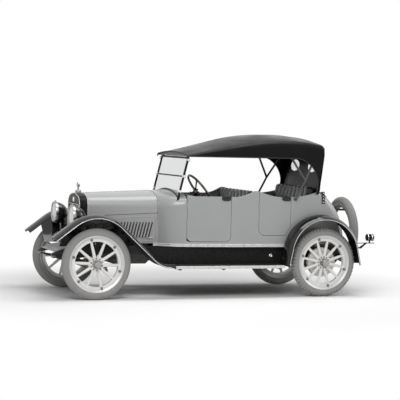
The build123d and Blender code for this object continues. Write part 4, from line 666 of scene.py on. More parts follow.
def wheel_fittings(end, side):
    """Rim, lugs, hub bolts, hub cap and valve of one wheel, and the bolts and rings of a rear drum."""
    axle_x, spokes, phase = AXLES[end]
    sign = SIDES[side]
    at, axis = Vector((axle_x, sign * WHEEL_Y, HUB_Z)), Vector((0, sign, 0))
    body = slot = f"wheel_{end}_{side}"
    bm = bmesh.new()
    rim_lips(bm, at, axis)
    piece(f"rim_{end}_{side}", bm, rim_steel, body)
    bm = bmesh.new()
    for i in range(LUGS):
        lug(bm, at, axis, 360 / LUGS * (i + 0.28), 0.289, 0.028)
    for i in range(spokes):
        spot = ring_line(at, axis, 0.07, 0.0255, 360 / spokes * (i + phase + 0.5))[0]
        bolt(bm, spot, axis, 0.008)
    spot, out = ring_line(at, axis, 0.262, 0.0, 360 / spokes * (phase + 1.5))
    tube(bm, (spot + out * 0.006, spot - out * 0.014, spot - out * 0.03), 0.005, 10)
    tube(bm, (spot - out * 0.026, spot - out * 0.034), 0.0068, 10)
    piece(f"wheel_bolts_{end}_{side}", bm, bolt_steel, body)
    bm = bmesh.new()
    turned(bm, at, axis, HUB_CAP, 48)
    turned(bm, at, axis, ((0.056, 0.0262), (0.056, 0.037), (0.054, 0.040), (0.049, 0.041)), 8)
    piece(f"hub_cap_{end}_{side}", bm, shaded_nickel, body)
    if end == "rear":
        bm = bmesh.new()
        hoop(bm, at, axis, ((0.1775, -0.04), (0.181, -0.042), (0.181, -0.088), (0.1775, -0.09)), 72)
        for i in range(spokes):
            spot = ring_line(at, axis, 0.135, -0.0345, 360 / spokes * (i + phase + 0.5))[0]
            bolt(bm, spot, axis, 0.0095)
        hoop(bm, at, axis, ((0.158, -0.0345), (0.158, -0.031), (0.164, -0.031), (0.164, -0.0345)), 72)
        piece(f"drum_bolts_{side}", bm, cream_paint, body)


# Seats

SEAT_HALF = 0.545
SEAT_Z = 0.905
PLEATS = 9
PLEAT_STEPS = 10
PAD_ROUND, PAD_STEP = 0.034, 0.022
PLEAT_PUFF, SEAM_DEPTH = 0.005, 0.006
SWELL_STEPS, SWELL_CAP = 20, 0.013


def rounded_loop(corners, radius, step):
    """A closed outline (x, z) with rounded corners, with the edge number of each point."""
    count = len(corners)
    ways = [(Vector(corners[(i + 1) % count]) - Vector(corners[i])) for i in range(count)]
    loop = []
    for i, corner in enumerate(corners):
        corner = Vector(corner)
        before, after = -ways[i - 1].normalized(), ways[i].normalized()
        half_turn = before.angle(after) / 2
        reach = radius / tan(half_turn)
        middle = corner + (before + after).normalized() * radius / sin(half_turn)
        first, last = corner + before * reach, corner + after * reach
        for k in range(6):
            share = first.lerp(last, k / 5)
            loop.append((middle + (share - middle).normalized() * radius, i - 0.5))
        next_half = ways[i].angle(-ways[(i + 1) % count]) / 2
        end = corner + ways[i] - ways[i].normalized() * radius / tan(next_half)
        steps = max(2, int((end - last).length / step))
        loop += [(last.lerp(end, k / steps), i) for k in range(1, steps)]
    return loop


def seat_pad(name, corners, pleated, replaced):
    """A leather pad with sewn pleats over the edges named, blown up as cloth between its seams."""
    loop = rounded_loop(corners, PAD_ROUND, PAD_STEP)
    centre = sum((p for p, e in loop), Vector((0, 0))) / len(loop)
    count = len(loop)
    across = PLEATS * PLEAT_STEPS
    bm = bmesh.new()
    rows, held = [], []
    for j in range(across + 1):
        y = SEAT_HALF * (2 * j / across - 1) * 0.992
        seam = j % PLEAT_STEPS == 0
        edge = max(0.0, (abs(y) - SEAT_HALF + 0.05) / 0.05)
        pull = 1 - 0.32 * (1 - sqrt(max(0.0, 1 - min(edge, 1.0) ** 2)))
        puff = PLEAT_PUFF * sin(pi * (j % PLEAT_STEPS) / PLEAT_STEPS)
        row = []
        for i, (p, e) in enumerate(loop):
            way = (loop[(i + 1) % count][0] - loop[i - 1][0]).normalized()
            out = Vector((way.y, -way.x))
            if out.dot(p - centre) < 0:
                out = -out
            soft = 1.0 if e in pleated else (0.5 if e + 0.5 in pleated or e - 0.5 in pleated else 0.0)
            q = centre + (p - centre) * pull + out * (puff * soft - 0.010 * soft - 0.002)
            if seam and soft:
                q = q - out * SEAM_DEPTH * soft
            row.append((q.x, y, q.y))
            held.append(1.0 if seam or not soft or j in (1, across - 1) else 0.0)
        rows.append(row)
    loft_rings(bm, rows)
    made = piece(name, bm, black_leather, "chassis", 60)
    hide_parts(replaced)
    swell(made, held, SWELL_CAP)
    smooth = made.modifiers.new("even", "SUBSURF")
    smooth.levels = smooth.render_levels = 1
    return loop, rows


def swell(made, held, cap):
    """Blow a sewn piece up with a short cloth run; held points stay, and none moves further than cap."""
    group = made.vertex_groups.new(name="sewn")
    for i, weight in enumerate(held):
        if weight:
            group.add([i], weight, "REPLACE")
    cloth = made.modifiers.new("swell", "CLOTH")
    settings = cloth.settings
    settings.vertex_group_mass = "sewn"
    settings.use_pressure = True
    settings.uniform_pressure_force = 5.0
    settings.effector_weights.gravity = 0.0
    settings.quality = 5
    settings.tension_stiffness = settings.compression_stiffness = 12.0
    cloth.point_cache.frame_start, cloth.point_cache.frame_end = 1, SWELL_STEPS
    for step in range(1, SWELL_STEPS + 1):
        scene.frame_set(step)
    blown = made.evaluated_get(bpy.context.evaluated_depsgraph_get()).to_mesh()
    moved = [v.co.copy() for v in blown.vertices]
    made.to_mesh_clear()
    made.modifiers.remove(cloth)
    scene.frame_set(1)
    for v, new in zip(made.data.vertices, moved):
        step = new - v.co
        if step.length > cap:
            step = step.normalized() * cap
        v.co = v.co + step
    made.vertex_groups.clear()


FRONT_SEAT = (REAR_DOOR_X + 0.038 + 0.505, 0.47, 1.288)
REAR_SEAT = (REAR_AXLE_X - 0.052 + 0.66, 0.48, 1.347)


def seats():
    """Cushions and backs, with welts along the seams of the backs, pale as a painted highlight."""
    for name, (x, long, top) in (("front", FRONT_SEAT), ("rear", REAR_SEAT)):
        low = SEAT_Z - 0.13
        seat_pad(f"{name}_cushion", ((x, low), (x, SEAT_Z + 0.01), (x - long, SEAT_Z - 0.015), (x - long, low)),
                 (0, 1), "seat_cushions")
        foot_x, foot_z = x - long + 0.12, SEAT_Z - 0.005
        shift = (top - foot_z) * tan(radians(14))
        loop, rows = seat_pad(f"{name}_back", ((foot_x, foot_z), (foot_x - shift, top),
                                               (foot_x - shift - 0.095, top - 0.01), (foot_x - 0.11, foot_z)),
                              (0, 1), "seat_backs")
        bm = bmesh.new()
        keep = [i for i, (p, e) in enumerate(loop) if 0 <= e <= 1.5]
        for j in range(PLEAT_STEPS, len(rows) - 1, PLEAT_STEPS):
            tube(bm, [Vector(rows[j][i]) + Vector((0.004, 0, 0.004)) for i in keep], 0.0085, 8)
        piece(f"{name}_back_welt_highlights", bm, welt_highlight, "chassis")


# Folding top

TOP_FRONT_X = COWL_BACK_X + 0.015
TOP_BACK_X = REAR_AXLE_X - 0.052
TOP_BACK_Z = 1.8
TOP_LEAN = tan(radians(7.4))
TOP_EDGE_Z = 1.692
QUARTER_X = TOP_BACK_X + 0.091
QUARTER_Z, QUARTER_FOOT_Z = 1.4, 1.173
TOP_LOW = 1.253
SLACK, CLOTH = 0.004, 0.005
# x, half width, eave, crown, shoulder
TOP_SECTIONS = ((TOP_FRONT_X, 0.575, 1.705, 1.743, 0.036), (TOP_FRONT_X - 0.62, 0.59, 1.817, 1.905, 0.075),
                (TOP_FRONT_X - 1.29, 0.6, 1.885, 1.976, 0.09), (TOP_BACK_X - 0.03, 0.59, 1.832, 1.904, 0.075))
BOWS = (TOP_FRONT_X - 0.03, TOP_FRONT_X - 0.62, REAR_DOOR_END - 0.03, REAR_DOOR_END - 0.32, TOP_BACK_X)


def top_section(x, column):
    xs = [row[0] for row in TOP_SECTIONS]
    return curve_through(xs, [row[column] for row in TOP_SECTIONS], x)


def top_back(z):
    """The leaning back of the top at a height, with its rounded upper corner."""
    if z <= TOP_BACK_Z:
        return TOP_BACK_X + (TOP_BACK_Z - z) * TOP_LEAN
    share = min(1.0, (z - TOP_BACK_Z) / 0.1)
    return TOP_BACK_X + 0.062 * (1 - sqrt(max(0.0, 1 - share * share))) + max(0.0, z - 1.9) * 1.6


def slack(x, y):
    """How far the cloth hangs between two bows."""
    for a, b in zip(BOWS, BOWS[1:]):
        if b <= x <= a:
            return SLACK * sin(pi * (a - x) / (a - b)) ** 2 * max(0.0, 1 - (abs(y) / 0.56) ** 4)
    return 0.0


def opening_edge():
    """Side view of the top's opening, from the front along the edge and down the quarter."""
    edge = [(TOP_FRONT_X - 0.001 - i * (TOP_FRONT_X - QUARTER_X - 0.29) / 24, TOP_EDGE_Z) for i in range(24)]
    edge += through((QUARTER_X + 0.29, TOP_EDGE_Z), (QUARTER_X + 0.125, TOP_EDGE_Z - 0.066), (QUARTER_X, QUARTER_Z),
                    20)
    return edge + through((QUARTER_X, QUARTER_Z), (QUARTER_X + 0.011, QUARTER_Z - 0.1),
                          (QUARTER_X + 0.06, QUARTER_FOOT_Z), 14)[1:10]


def cutter(name, bm):
    """A hidden solid that cuts a piece once."""
    bmesh.ops.recalc_face_normals(bm, faces=bm.faces)
    return mesh_object(name, bm)


def skin_of(name):
    """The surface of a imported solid, for finding heights on it."""
    solid = nodes[name]
    return BVHTree.FromPolygons([solid.matrix_world @ v.co for v in solid.data.vertices],
                                [p.vertices for p in solid.data.polygons])


def sheet_faces(bm, rows):
    """Faces between open rows of vertices."""
    for a, b in zip(rows, rows[1:]):
        for i in range(len(a) - 1):
            bm.faces.new((a[i], a[i + 1], b[i + 1], b[i]))


def settle(obj):
    """Keep what the modifiers make as the object's own mesh."""
    made = bpy.data.meshes.new_from_object(obj.evaluated_get(bpy.context.evaluated_depsgraph_get()))
    obj.modifiers.clear()
    obj.data = made


LIGHT_Y, LIGHT_Z, LIGHT_WIDE, LIGHT_HIGH = 0.27, 1.59, 0.14, 0.073


def canopy_sheet():
    """The top as one sheet over the bows and down the back, cut out at the sides and for the back lights."""
    skin = skin_of("canopy")
    bm = bmesh.new()
    stations = 60
    rows = []
    for i in range(stations + 1):
        share = i / stations
        row = []
        middle = TOP_FRONT_X + (TOP_BACK_X - TOP_FRONT_X) * share
        section = [top_section(middle, column) for column in (1, 2, 3, 4)]
        for y, z in arch_path(section[0], TOP_LOW, *section[1:]):
            back = top_back(z)
            x = TOP_FRONT_X + (back - TOP_FRONT_X) * share
            if z > TOP_EDGE_Z + 0.05:
                hit = skin.ray_cast(Vector((x, y * 0.999, 3.0)), Vector((0, 0, -1)))[0]
                z = max(z, hit.z) if hit and abs(hit.z - z) < 0.06 else z
            row.append((x, y, z - slack(x, y) * (z > TOP_EDGE_Z)))
        low = []
        for k in range(1, 10):
            z = TOP_LOW + (row[1][2] - TOP_LOW) * k / 10
            x = TOP_FRONT_X + (top_back(z) - TOP_FRONT_X) * share
            low.append((x, row[0][1], z))
        right = [(x, -y, z) for x, y, z in reversed(low)]
        rows.append([row[0]] + low + row[1:-1] + right + [row[-1]])
    grid = [[bm.verts.new(p) for p in row] for row in rows]
    sheet_faces(bm, grid)
    last = grid[-1]
    half = len(last) // 2
    columns = 24
    lines = []
    for left, right in zip(last[:half], reversed(last)):
        between = [bm.verts.new(left.co.lerp(right.co, k / columns)) for k in range(1, columns)]
        lines.append([left] + between + [right])
    sheet_faces(bm, lines)
    for k in range(columns):
        bm.faces.new((lines[-1][k], lines[-1][k + 1], last[half]))
    corner = [e for e in bm.edges if all(v in set(last) for v in e.verts) and e.is_manifold]
    bmesh.ops.bevel(bm, geom=corner, offset=0.022, segments=3, affect="EDGES", profile=0.5)
    top = piece("top_sheet", bm, top_cloth, "chassis", 40)
    thick = top.modifiers.new("thickness", "SOLIDIFY")
    thick.thickness, thick.offset = CLOTH, -1.0
    bm = bmesh.new()
    outline = opening_edge()[:-1] + [(QUARTER_X + 0.1, TOP_LOW - 0.1), (TOP_FRONT_X + 0.1, TOP_LOW - 0.1),
                                     (TOP_FRONT_X + 0.1, TOP_EDGE_Z)]
    loft_rings(bm, [[(x, y, z) for x, z in outline] for y in (-0.8, 0.8)])
    gap = cutter("opening_cutter", bm)
    bm = bmesh.new()
    back_at = Vector((top_back(LIGHT_Z), 0, LIGHT_Z))
    lean = Vector((-TOP_LEAN, 0, 1)).normalized()
    ahead = Vector((lean.z, 0, -lean.x))
    for sign in SIDES.values():
        loft_rings(bm, [[back_at + ahead * d + Vector((0, sign * LIGHT_Y + LIGHT_WIDE * c, 0)) + lean * LIGHT_HIGH * s
                         for c, s in around(40)] for d in (-0.05, 0.05)])
    ovals = cutter("oval_cutter", bm)
    for tool in (gap, ovals):
        cut = top.modifiers.new("cut", "BOOLEAN")
        cut.operation, cut.object, cut.solver = "DIFFERENCE", tool, "EXACT"
    settle(top)
    for tool in (gap, ovals):
        bpy.data.objects.remove(tool)
    smooth_shade(top.data, 40)
    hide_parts("canopy")
    bm = bmesh.new()
    for sign in SIDES.values():
        edge = [(x, sign * (top_section(x, 1) + 0.001), z) for x, z in opening_edge()]
        tube(bm, edge, 0.006, 8)
    front = TOP_SECTIONS[0]
    tube(bm, [(TOP_FRONT_X + 0.002, y, z) for y, z in arch_path(front[1], TOP_EDGE_Z, *front[2:])], 0.007, 8)
    for sign in SIDES.values():
        tube(bm, [back_at - ahead * 0.001 + Vector((0, sign * LIGHT_Y + (LIGHT_WIDE + 0.006) * c, 0))
                  + lean * (LIGHT_HIGH + 0.006) * s for c, s in around(40)], 0.006, 8, closed=True)
    binding = piece("top_binding", bm, binding_cloth, "chassis")


# Radiator and lamps

CORE_LOW, CORE_HIGH, CORE_HALF = 0.626, 1.085, 0.244
# half width, foot, eave, crown, shoulder
SHELL_ARCH = (HOOD_FRONT_HALF, 0.606, 1.15, 1.221, 0.13)
CORE_FACE_X = RADIATOR_FRONT_X - 0.024
LAMP_X, LAMP_Y, LAMP_Z = FRONT_AXLE_X + 0.232, 0.41, 0.964


def rounded_frame(half, low, high, radius, turn=6):
    """A rounded upright rectangle (y, z), closed."""
    points = []
    for y, z, first in ((half, high, 0), (-half, high, 90), (-half, low, 180), (half, low, 270)):
        cy, cz = y - math.copysign(radius, y), z + (radius if z == low else -radius)
        points += [(cy + radius * cos(radians(first + 90 * k / turn)),
                    cz + radius * sin(radians(first + 90 * k / turn)))
                   for k in range(turn + 1)]
    return points


def radiator_dress():
    """Cells of the core, a bright bezel, painted highlight lines along the shell's edges, a bare plate and the cap's
    ribs.
    """
    bm = bmesh.new()
    for i in range(34):
        z = CORE_LOW + 0.016 + i * (CORE_HIGH - CORE_LOW - 0.032) / 33
        block(bm, (CORE_FACE_X + 0.006, 0, z), (0.012, 2 * CORE_HALF - 0.012 - 0.05 * (i in (0, 33)), 0.0032))
    for i in range(40):
        y = -CORE_HALF + 0.012 + i * (2 * CORE_HALF - 0.024) / 39
        block(bm, (CORE_FACE_X + 0.007, y, (CORE_LOW + CORE_HIGH) / 2),
              (0.010, 0.0026, CORE_HIGH - CORE_LOW - 0.012 - 0.05 * (i in (0, 39))))
    piece("core_cells", bm, core_brass, "chassis")
    bm = bmesh.new()
    tube(bm, [(RADIATOR_FRONT_X + 0.001, y, z) for y, z in rounded_frame(CORE_HALF + 0.003, CORE_LOW - 0.003,
                                                                         CORE_HIGH + 0.003, 0.043)], 0.005, 8, True)
    # Painted highlights: bright lines along the shell's front and back edges.
    tube(bm, [(RADIATOR_FRONT_X - 0.004, y, z) for y, z in arch_path(*SHELL_ARCH, 0.003)], 0.0042, 8)
    tube(bm, [(RADIATOR_BACK_X + 0.002, y, z) for y, z in arch_path(*SHELL_ARCH, -0.0005)], 0.0045, 8)
    piece("radiator_bezel_and_edge_highlights", bm, bright_trim_and_highlight, "chassis")
    bm = bmesh.new()
    turned(bm, (RADIATOR_FRONT_X - 0.001, 0, 1.142), (1, 0, 0),
           ((0.034, 0), (0.034, 0.003), (0.031, 0.0045), (0.029, 0.003), (0.0, 0.0035)), 32)
    piece("bare_plate", bm, nickel, "chassis")
    bm = bmesh.new()
    cap = Vector((RADIATOR_FRONT_X - 0.054, 0, 1.221))
    for c, s in around(20):
        way = Vector((c, s, 0))
        tube(bm, (cap + way * 0.0342 + Vector((0, 0, 0.004)), cap + way * 0.0342 + Vector((0, 0, 0.027))), 0.0025, 6)
    hoop(bm, cap, (0, 0, 1), ((0.033, 0.0), (0.042, 0.001), (0.042, 0.006), (0.036, 0.009), (0.033, 0.009)), 40)
    for side in (1, -1):
        hoop(bm, cap + Vector((0, 0, 0.098)), (side, 0, 0), ((0.024, 0.0085), (0.031, 0.0085), (0.031, 0.0115),
                                                             (0.027, 0.013), (0.024, 0.0115)), 40)
    piece("cap_ribs", bm, shaded_nickel, "chassis")


def lamp_dress():
    """Rims, reflectors, bulbs and post sockets of the headlamps."""
    rims, bowls, bulbs, posts = (bmesh.new() for i in range(4))
    for sign in SIDES.values():
        at = Vector((LAMP_X, sign * LAMP_Y, LAMP_Z))
        hoop(rims, at, (1, 0, 0),
             ((0.112, -0.0005), (0.117, 0.006), (0.125, 0.0085), (0.1315, 0.004), (0.1335, -0.006),
              (0.1335, -0.026), (0.1305, -0.028), (0.1295, 0.0)), 72)
        tube(rims, (at + Vector((-0.013, 0, 0.131)), at + Vector((-0.013, 0, 0.145))), 0.006, 10)
        curve = through((-0.163, 0.006), (-0.1204, 0.069), (-0.021, 0.109), 14)
        loft_rings(bowls, [[at + Vector((x, r * c, r * s)) for c, s in around(48)] for x, r in curve], caps=False)
        turned(bulbs, at + Vector((-0.15, 0, 0)), (1, 0, 0),
               ((0.010, 0), (0.010, 0.02), (0.008, 0.026), (0.016, 0.045),
                (0.018, 0.058), (0.013, 0.07), (0, 0.075)), 20)
        foot = Vector((LAMP_X - 0.095, sign * 0.318, 0.56))
        neck = Vector((LAMP_X - 0.075, sign * LAMP_Y, LAMP_Z - 0.085))
        turned(posts, neck - (neck - foot).normalized() * 0.05, neck - foot,
               ((0.016, 0), (0.021, 0.006), (0.021, 0.02),
                (0.03, 0.034), (0.034, 0.05)), 24)
        turned(posts, foot + (neck - foot).normalized() * 0.042, neck - foot,
               ((0.034, 0), (0.034, 0.008), (0.02, 0.016),
                (0.0155, 0.03)), 24)
    piece("lamp_rims", rims, shaded_nickel, "chassis")
    piece("lamp_reflectors", bowls, reflector_silver, "chassis")
    piece("lamp_bulbs", bulbs, dial_white, "chassis")
    piece("lamp_sockets", posts, black_enamel, "chassis")


def tail_lamp_dress():
    """Ruby lens, its rim and a forked bracket."""
    at = Vector((cad_low[0] + 0.0105, 0.69, 0.725))
    bm = bmesh.new()
    turned(bm, at, (-1, 0, 0), ((0.034, 0), (0.034, 0.002), (0.028, 0.0055), (0.015, 0.008), (0, 0.0088)), 32)
    piece("tail_lens", bm, ruby_glass, "chassis")
    bm = bmesh.new()
    hoop(bm, at, (-1, 0, 0), ((0.034, 0), (0.0345, 0.004), (0.039, 0.006), (0.0445, 0.003), (0.0445, -0.012),
                              (0.0425, -0.013), (0.0425, 0.0)), 40)
    for x in (0.03, 0.08):
        hoop(bm, at + Vector((x, 0, 0)), (1, 0, 0), ((0.0425, -0.003), (0.0445, 0.0), (0.0425, 0.003), (0.041, 0.0)),
             40)
    piece("tail_rim", bm, nickel, "chassis")
    bm = bmesh.new()
    root = Vector((REAR_AXLE_X + 0.006 - 0.47, 0.69, 0.655))
    for side in (1, -1):
        fork = ((-0.004, 0.03, -0.055), (-0.05, 0.022, -0.06), (-0.11, 0.008, -0.015), (-0.14, 0, 0.002))
        tube(bm, [root + Vector((x, side * y, z)) for x, y, z in fork], 0.008, 8)
    piece("tail_bracket", bm, black_enamel, "chassis")


# Hood, cowl and body trim

LOUVRES, LOUVRE_PITCH, LOUVRE_LEAN = 12, 0.037, radians(14)
LOUVRE_X, LOUVRE_Z = COWL_FRONT_X + 0.27, 0.812


def hood_spot(sign, x, z, proud=0.0):
    return Vector((x, sign * (hood_half(x) + proud), z))


def hood_dress():
    """Painted shade as dark slots beside the louvres, the beaded frame round them, catches and edge beads."""
    slot_shade, beads, catches = (bmesh.new() for i in range(3))
    lean = math.atan2(HOOD_SPREAD, RADIATOR_BACK_X - COWL_FRONT_X)
    rise = Vector((-sin(LOUVRE_LEAN), 0, cos(LOUVRE_LEAN)))
    for sign in SIDES.values():
        out = Vector((sin(lean), sign * cos(lean), 0))
        side = rise.cross(out).normalized()
        turn = Matrix((side, out, rise)).transposed()
        for i in range(LOUVRES):
            x = LOUVRE_X + (i - (LOUVRES - 1) / 2) * LOUVRE_PITCH
            spot = hood_spot(sign, x + LOUVRE_PITCH / 2, LOUVRE_Z)
            # Painted shade: a dark block in each slot beside a louvre.
            block(slot_shade, spot + out * 0.0008, (0.0165, 0.003, 0.224), turn, 0.001)
        low, high = 0.66, 0.952
        front, back = LOUVRE_X + 0.26, LOUVRE_X - 0.245
        corners = ((back, low), (back, high + 0.01), (front - 0.02, high - 0.015), (front, low))
        loop = [Vector(p) for p, e in rounded_loop(corners, 0.02, 0.05)]
        tube(beads, [hood_spot(sign, p.x, p.y, 0.001) for p in loop], 0.004, 8, True)
        for x in (COWL_FRONT_X + 0.09, RADIATOR_BACK_X - 0.1):
            at = hood_spot(sign, x, 0.70 if x < 1.0 else 0.9)
            turned(catches, at, out, ((0.013, 0), (0.013, 0.004), (0.008, 0.007), (0.0075, 0.018)), 16)
            tube(catches, (at + out * 0.016 + Vector((-0.034, 0, 0)), at + out * 0.018,
                           at + out * 0.016 + Vector((0.034, 0, 0))),
                 0.0062, 8)
    rows = arch_path(COWL_FRONT_HALF, 0.64, 1.172, 1.258, 0.165, -0.001)
    tube(beads, [(COWL_FRONT_X - 0.003, y, z) for y, z in rows], 0.0045, 8)
    piece("louvre_slot_shade", slot_shade, black_and_slot_shade, "chassis")
    piece("hood_beads", beads, body_paint, "chassis")
    piece("hood_catches", catches, nickel, "chassis")


SILL_PROFILE = ((-0.006, -0.018), (0.005, -0.019), (0.010, -0.015), (0.009, -0.009), (0.003, -0.006), (0.003, 0.005),
                (0.008, 0.008), (0.009, 0.014), (0.005, 0.018), (-0.006, 0.017))


def sill_moulding_highlight():
    """The moulding under the body on each side, pale as a painted highlight on its ledge."""
    bm = bmesh.new()
    for sign in SIDES.values():
        xs = [0.735 - i * (0.735 + 0.895) / 60 for i in range(61)]
        path = [(x, sign * (cowl_half(min(x, COWL_FRONT_X)) - max(0.0, x - COWL_FRONT_X) * 0.12 + 0.003),
                 0.6215) for x in xs]
        strip(bm, path, (0, sign, 0), SILL_PROFILE)
    piece("sill_moulding_highlight", bm, bright_trim_and_highlight, "chassis")


BOARD_FRONT_X, BOARD_BACK_X = COWL_BACK_X + 0.205, REAR_AXLE_X + 0.006 + 0.44 + 0.094


BOARD_EDGE_Y, APRON_Y = 0.796, 0.5447


def board_dress():
    """Bright edges and ribs of the running boards, and plugs and back ends of the splash aprons."""
    edges, ribs, plugs, ends = (bmesh.new() for i in range(4))
    profile = ((-0.014, -0.0165), (0.003, -0.0165), (0.0065, -0.012), (0.0065, 0.012), (0.003, 0.0175),
               (-0.014, 0.0175),
               (-0.014, 0.0145), (0.001, 0.0145), (0.001, -0.0145), (-0.014, -0.0145))
    long, middle = BOARD_FRONT_X - BOARD_BACK_X, (BOARD_FRONT_X + BOARD_BACK_X) / 2
    for sign in SIDES.values():
        strip(edges, [(BOARD_FRONT_X - long * i / 8, sign * BOARD_EDGE_Y, 0.377) for i in range(9)], (0, sign, 0),
              profile)
        for i in range(11):
            block(ribs, (middle, sign * (0.572 + i * 0.0195), 0.3935), (long - 0.06, 0.009, 0.005), None, 0.0018)
        for x in (BOARD_FRONT_X - 0.07, middle + 0.12, BOARD_BACK_X + 0.1):
            rivet(edges, (x, sign * 0.7865, 0.3945), (0, 0, 1), 0.005)
        at = Vector((BOARD_BACK_X + 0.085, sign * APRON_Y, 0.492))
        turned(plugs, at, (0, sign, 0),
               ((0.024, 0), (0.024, 0.005), (0.018, 0.008), (0.016, 0.016), (0.012, 0.02), (0, 0.021)), 24)
        block(ends, (BOARD_BACK_X - 0.052, sign * 0.5417, 0.4835), (0.062, 0.0055, 0.243), None, 0.001)
    piece("apron_ends", ends, black_enamel, "chassis")
    piece("board_edges", edges, bright_trim_and_highlight, "chassis")
    piece("board_ribs", ribs, board_cover, "chassis")
    piece("apron_plugs", plugs, nickel, "chassis")


FENDER_X, FENDER_Z, FENDER_RADIUS = FRONT_AXLE_X + 0.007, HUB_Z + 0.107, 0.433
FENDER_DIP, FENDER_SLOPE, FENDER_RUN, FENDER_FOOT_Z, FOOT_FILLET = radians(37), radians(43), 0.287, 0.384, 0.3
REAR_FENDER_X, REAR_FENDER_Z = REAR_AXLE_X + 0.006, HUB_Z + 0.093
REAR_FENDER_RADIUS, REAR_FLARE = 0.44, radians(12)


def front_fender_line(drop):
    """Side view of the front fender's outer edge, from the tip to the board, drawn in by drop."""
    radius = FENDER_RADIUS - drop
    lead = (FENDER_X + radius * sin(FENDER_DIP), FENDER_Z + radius * cos(FENDER_DIP))
    tip = (lead[0] + FENDER_RUN * cos(FENDER_DIP), lead[1] - FENDER_RUN * sin(FENDER_DIP))
    points = [(tip[0] + (lead[0] - tip[0]) * i / 8, tip[1] + (lead[1] - tip[1]) * i / 8) for i in range(8)]
    points += arc((FENDER_X, FENDER_Z), radius, 53, 133, 40)
    bend = points[-1]
    foot = FENDER_FOOT_Z - drop
    corner = bend[0] - (bend[1] - foot) / tan(FENDER_SLOPE)
    fillet = FOOT_FILLET + drop
    turn = fillet * tan(FENDER_SLOPE / 2)
    start = (corner + turn * cos(FENDER_SLOPE), foot + turn * sin(FENDER_SLOPE))
    points += [(bend[0] + (start[0] - bend[0]) * i / 6, bend[1] + (start[1] - bend[1]) * i / 6) for i in range(1, 6)]
    points += arc((corner - turn, foot + fillet), fillet, 270 + 43, 270, 16)
    return points


def rear_fender_line(drop):
    """Side view of the rear fender's outer edge, from the board over the wheel to the back."""
    radius = REAR_FENDER_RADIUS - drop
    ring = arc((REAR_FENDER_X, REAR_FENDER_Z), radius, 12, 168, 60)
    ahead = (ring[0][0] + (ring[0][1] - 0.4) * tan(REAR_FLARE), 0.4)
    behind = (ring[-1][0] - (ring[-1][1] - 0.395) * tan(REAR_FLARE), 0.395)
    return [ahead] + ring + [behind]


def fender_bead_highlights():
    """A painted highlight: a thin bright line on the beaded edge of each fender."""
    for end, line in (("front", front_fender_line(0.003)), ("rear", rear_fender_line(0.003))):
        bm = bmesh.new()
        for sign in SIDES.values():
            tube(bm, [(x, sign * 0.8062, z) for x, z in line], 0.0042, 8)
        piece(f"{end}_fender_bead_highlights", bm, bright_trim_and_highlight, "chassis")


DOOR_EDGES = {"front": FRONT_DOOR_X - 0.545, "rear": REAR_DOOR_END}


def door_flaps():
    """Leather flaps over the latches, at the back of each door's top edge."""
    for end, edge in DOOR_EDGES.items():
        for side, sign in SIDES.items():
            bm = bmesh.new()
            rows = []
            for i in range(9):
                x = edge + 0.004 + 0.115 * i / 8
                y = body_half(x)
                top = BELT_Z + (0.016 * (x - edge) / 0.245 if end == "rear" else 0.0)
                low = 0.052 - 0.012 * (abs(i - 4) / 4) ** 3
                outer = [(y + 0.006, top - low), (y + 0.0075, top - 0.02), (y + 0.006, top + 0.001),
                         (y - 0.003, top + 0.0075),
                         (y - 0.032, top + 0.0075), (y - 0.041, top + 0.001), (y - 0.0425, top - 0.02),
                         (y - 0.041, top - low)]
                inner = [(y + 0.001, top - low), (y + 0.0012, top - 0.02), (y + 0.001, top - 0.002),
                         (y - 0.003, top + 0.0015),
                         (y - 0.032, top + 0.0015), (y - 0.036, top - 0.002), (y - 0.0362, top - 0.02),
                         (y - 0.036, top - low)]
                rows.append([(x, sign * b, z) for b, z in outer + inner[::-1]])
            loft_rings(bm, rows)
            for i in range(5):
                x = edge + 0.016 + 0.0225 * i
                rivet(bm, (x, sign * (body_half(x) + 0.0065), BELT_Z - 0.036), (0, sign, 0), 0.0035)
            piece(f"latch_flap_{end}_{side}", bm, black_leather, f"door_{end}_{side}")


STRAP_LOW, STRAP_LONG = 1.135, 0.15


def strap_curl(z):
    """How far a strap bends in over the body's edge at a height."""
    return 0.02 * max(0.0, (z - 1.2) / 0.1) ** 2


def corner_straps():
    """Studded straps that hold the folded top at the body's back corners."""
    bm = bmesh.new()
    studs = bmesh.new()
    for sign in SIDES.values():
        x = REAR_AXLE_X - 0.045
        y = body_half(x) * 0.985
        rows = []
        for i in range(9):
            z = STRAP_LOW + STRAP_LONG * i / 8
            out = y + 0.012 - strap_curl(z)
            rows.append([(x + a, sign * (out + b), z)
                         for a, b in ((-0.019, -0.012), (-0.019, 0.003), (0.019, 0.003), (0.019, -0.012))])
        loft_rings(bm, rows)
        for i in (1, 3, 5, 7):
            z = STRAP_LOW + STRAP_LONG * i / 8
            out = y + 0.015 - strap_curl(z)
            rivet(studs, (x, sign * out, z), (0, sign, 0), 0.008)
    piece("corner_straps", bm, black_leather, "chassis")
    piece("strap_studs", studs, nickel, "chassis")


def back_deck():
    """The leather boot that closes the tub behind the back curtain."""
    skin = skin_of("rear_tub")
    bm = bmesh.new()
    start = top_back(TOP_LOW + 0.012) + 0.006
    lines = []
    for k in range(33):
        y = 0.57 * (k / 16 - 1)
        rim = None
        for i in range(1, 120):
            hit = skin.ray_cast(Vector((start - 0.004 * i, y, 1.5)), Vector((0, 0, -1)))[0]
            if hit and hit.z > 1.12:
                rim = hit
                break
        if rim is None:
            continue
        first, last = Vector((start, y, TOP_LOW + 0.012)), rim + Vector((-0.012, 0, 0.004))
        line = [first.lerp(last, i / 10) - Vector((0, 0, 0.014 * sin(pi * i / 10))) for i in range(11)]
        lines.append([bm.verts.new(p) for p in line])
    sheet_faces(bm, lines)
    deck = piece("top_boot", bm, black_leather, "chassis")
    thick = deck.modifiers.new("thickness", "SOLIDIFY")
    thick.thickness, thick.offset = 0.003, 0.0
    settle(deck)


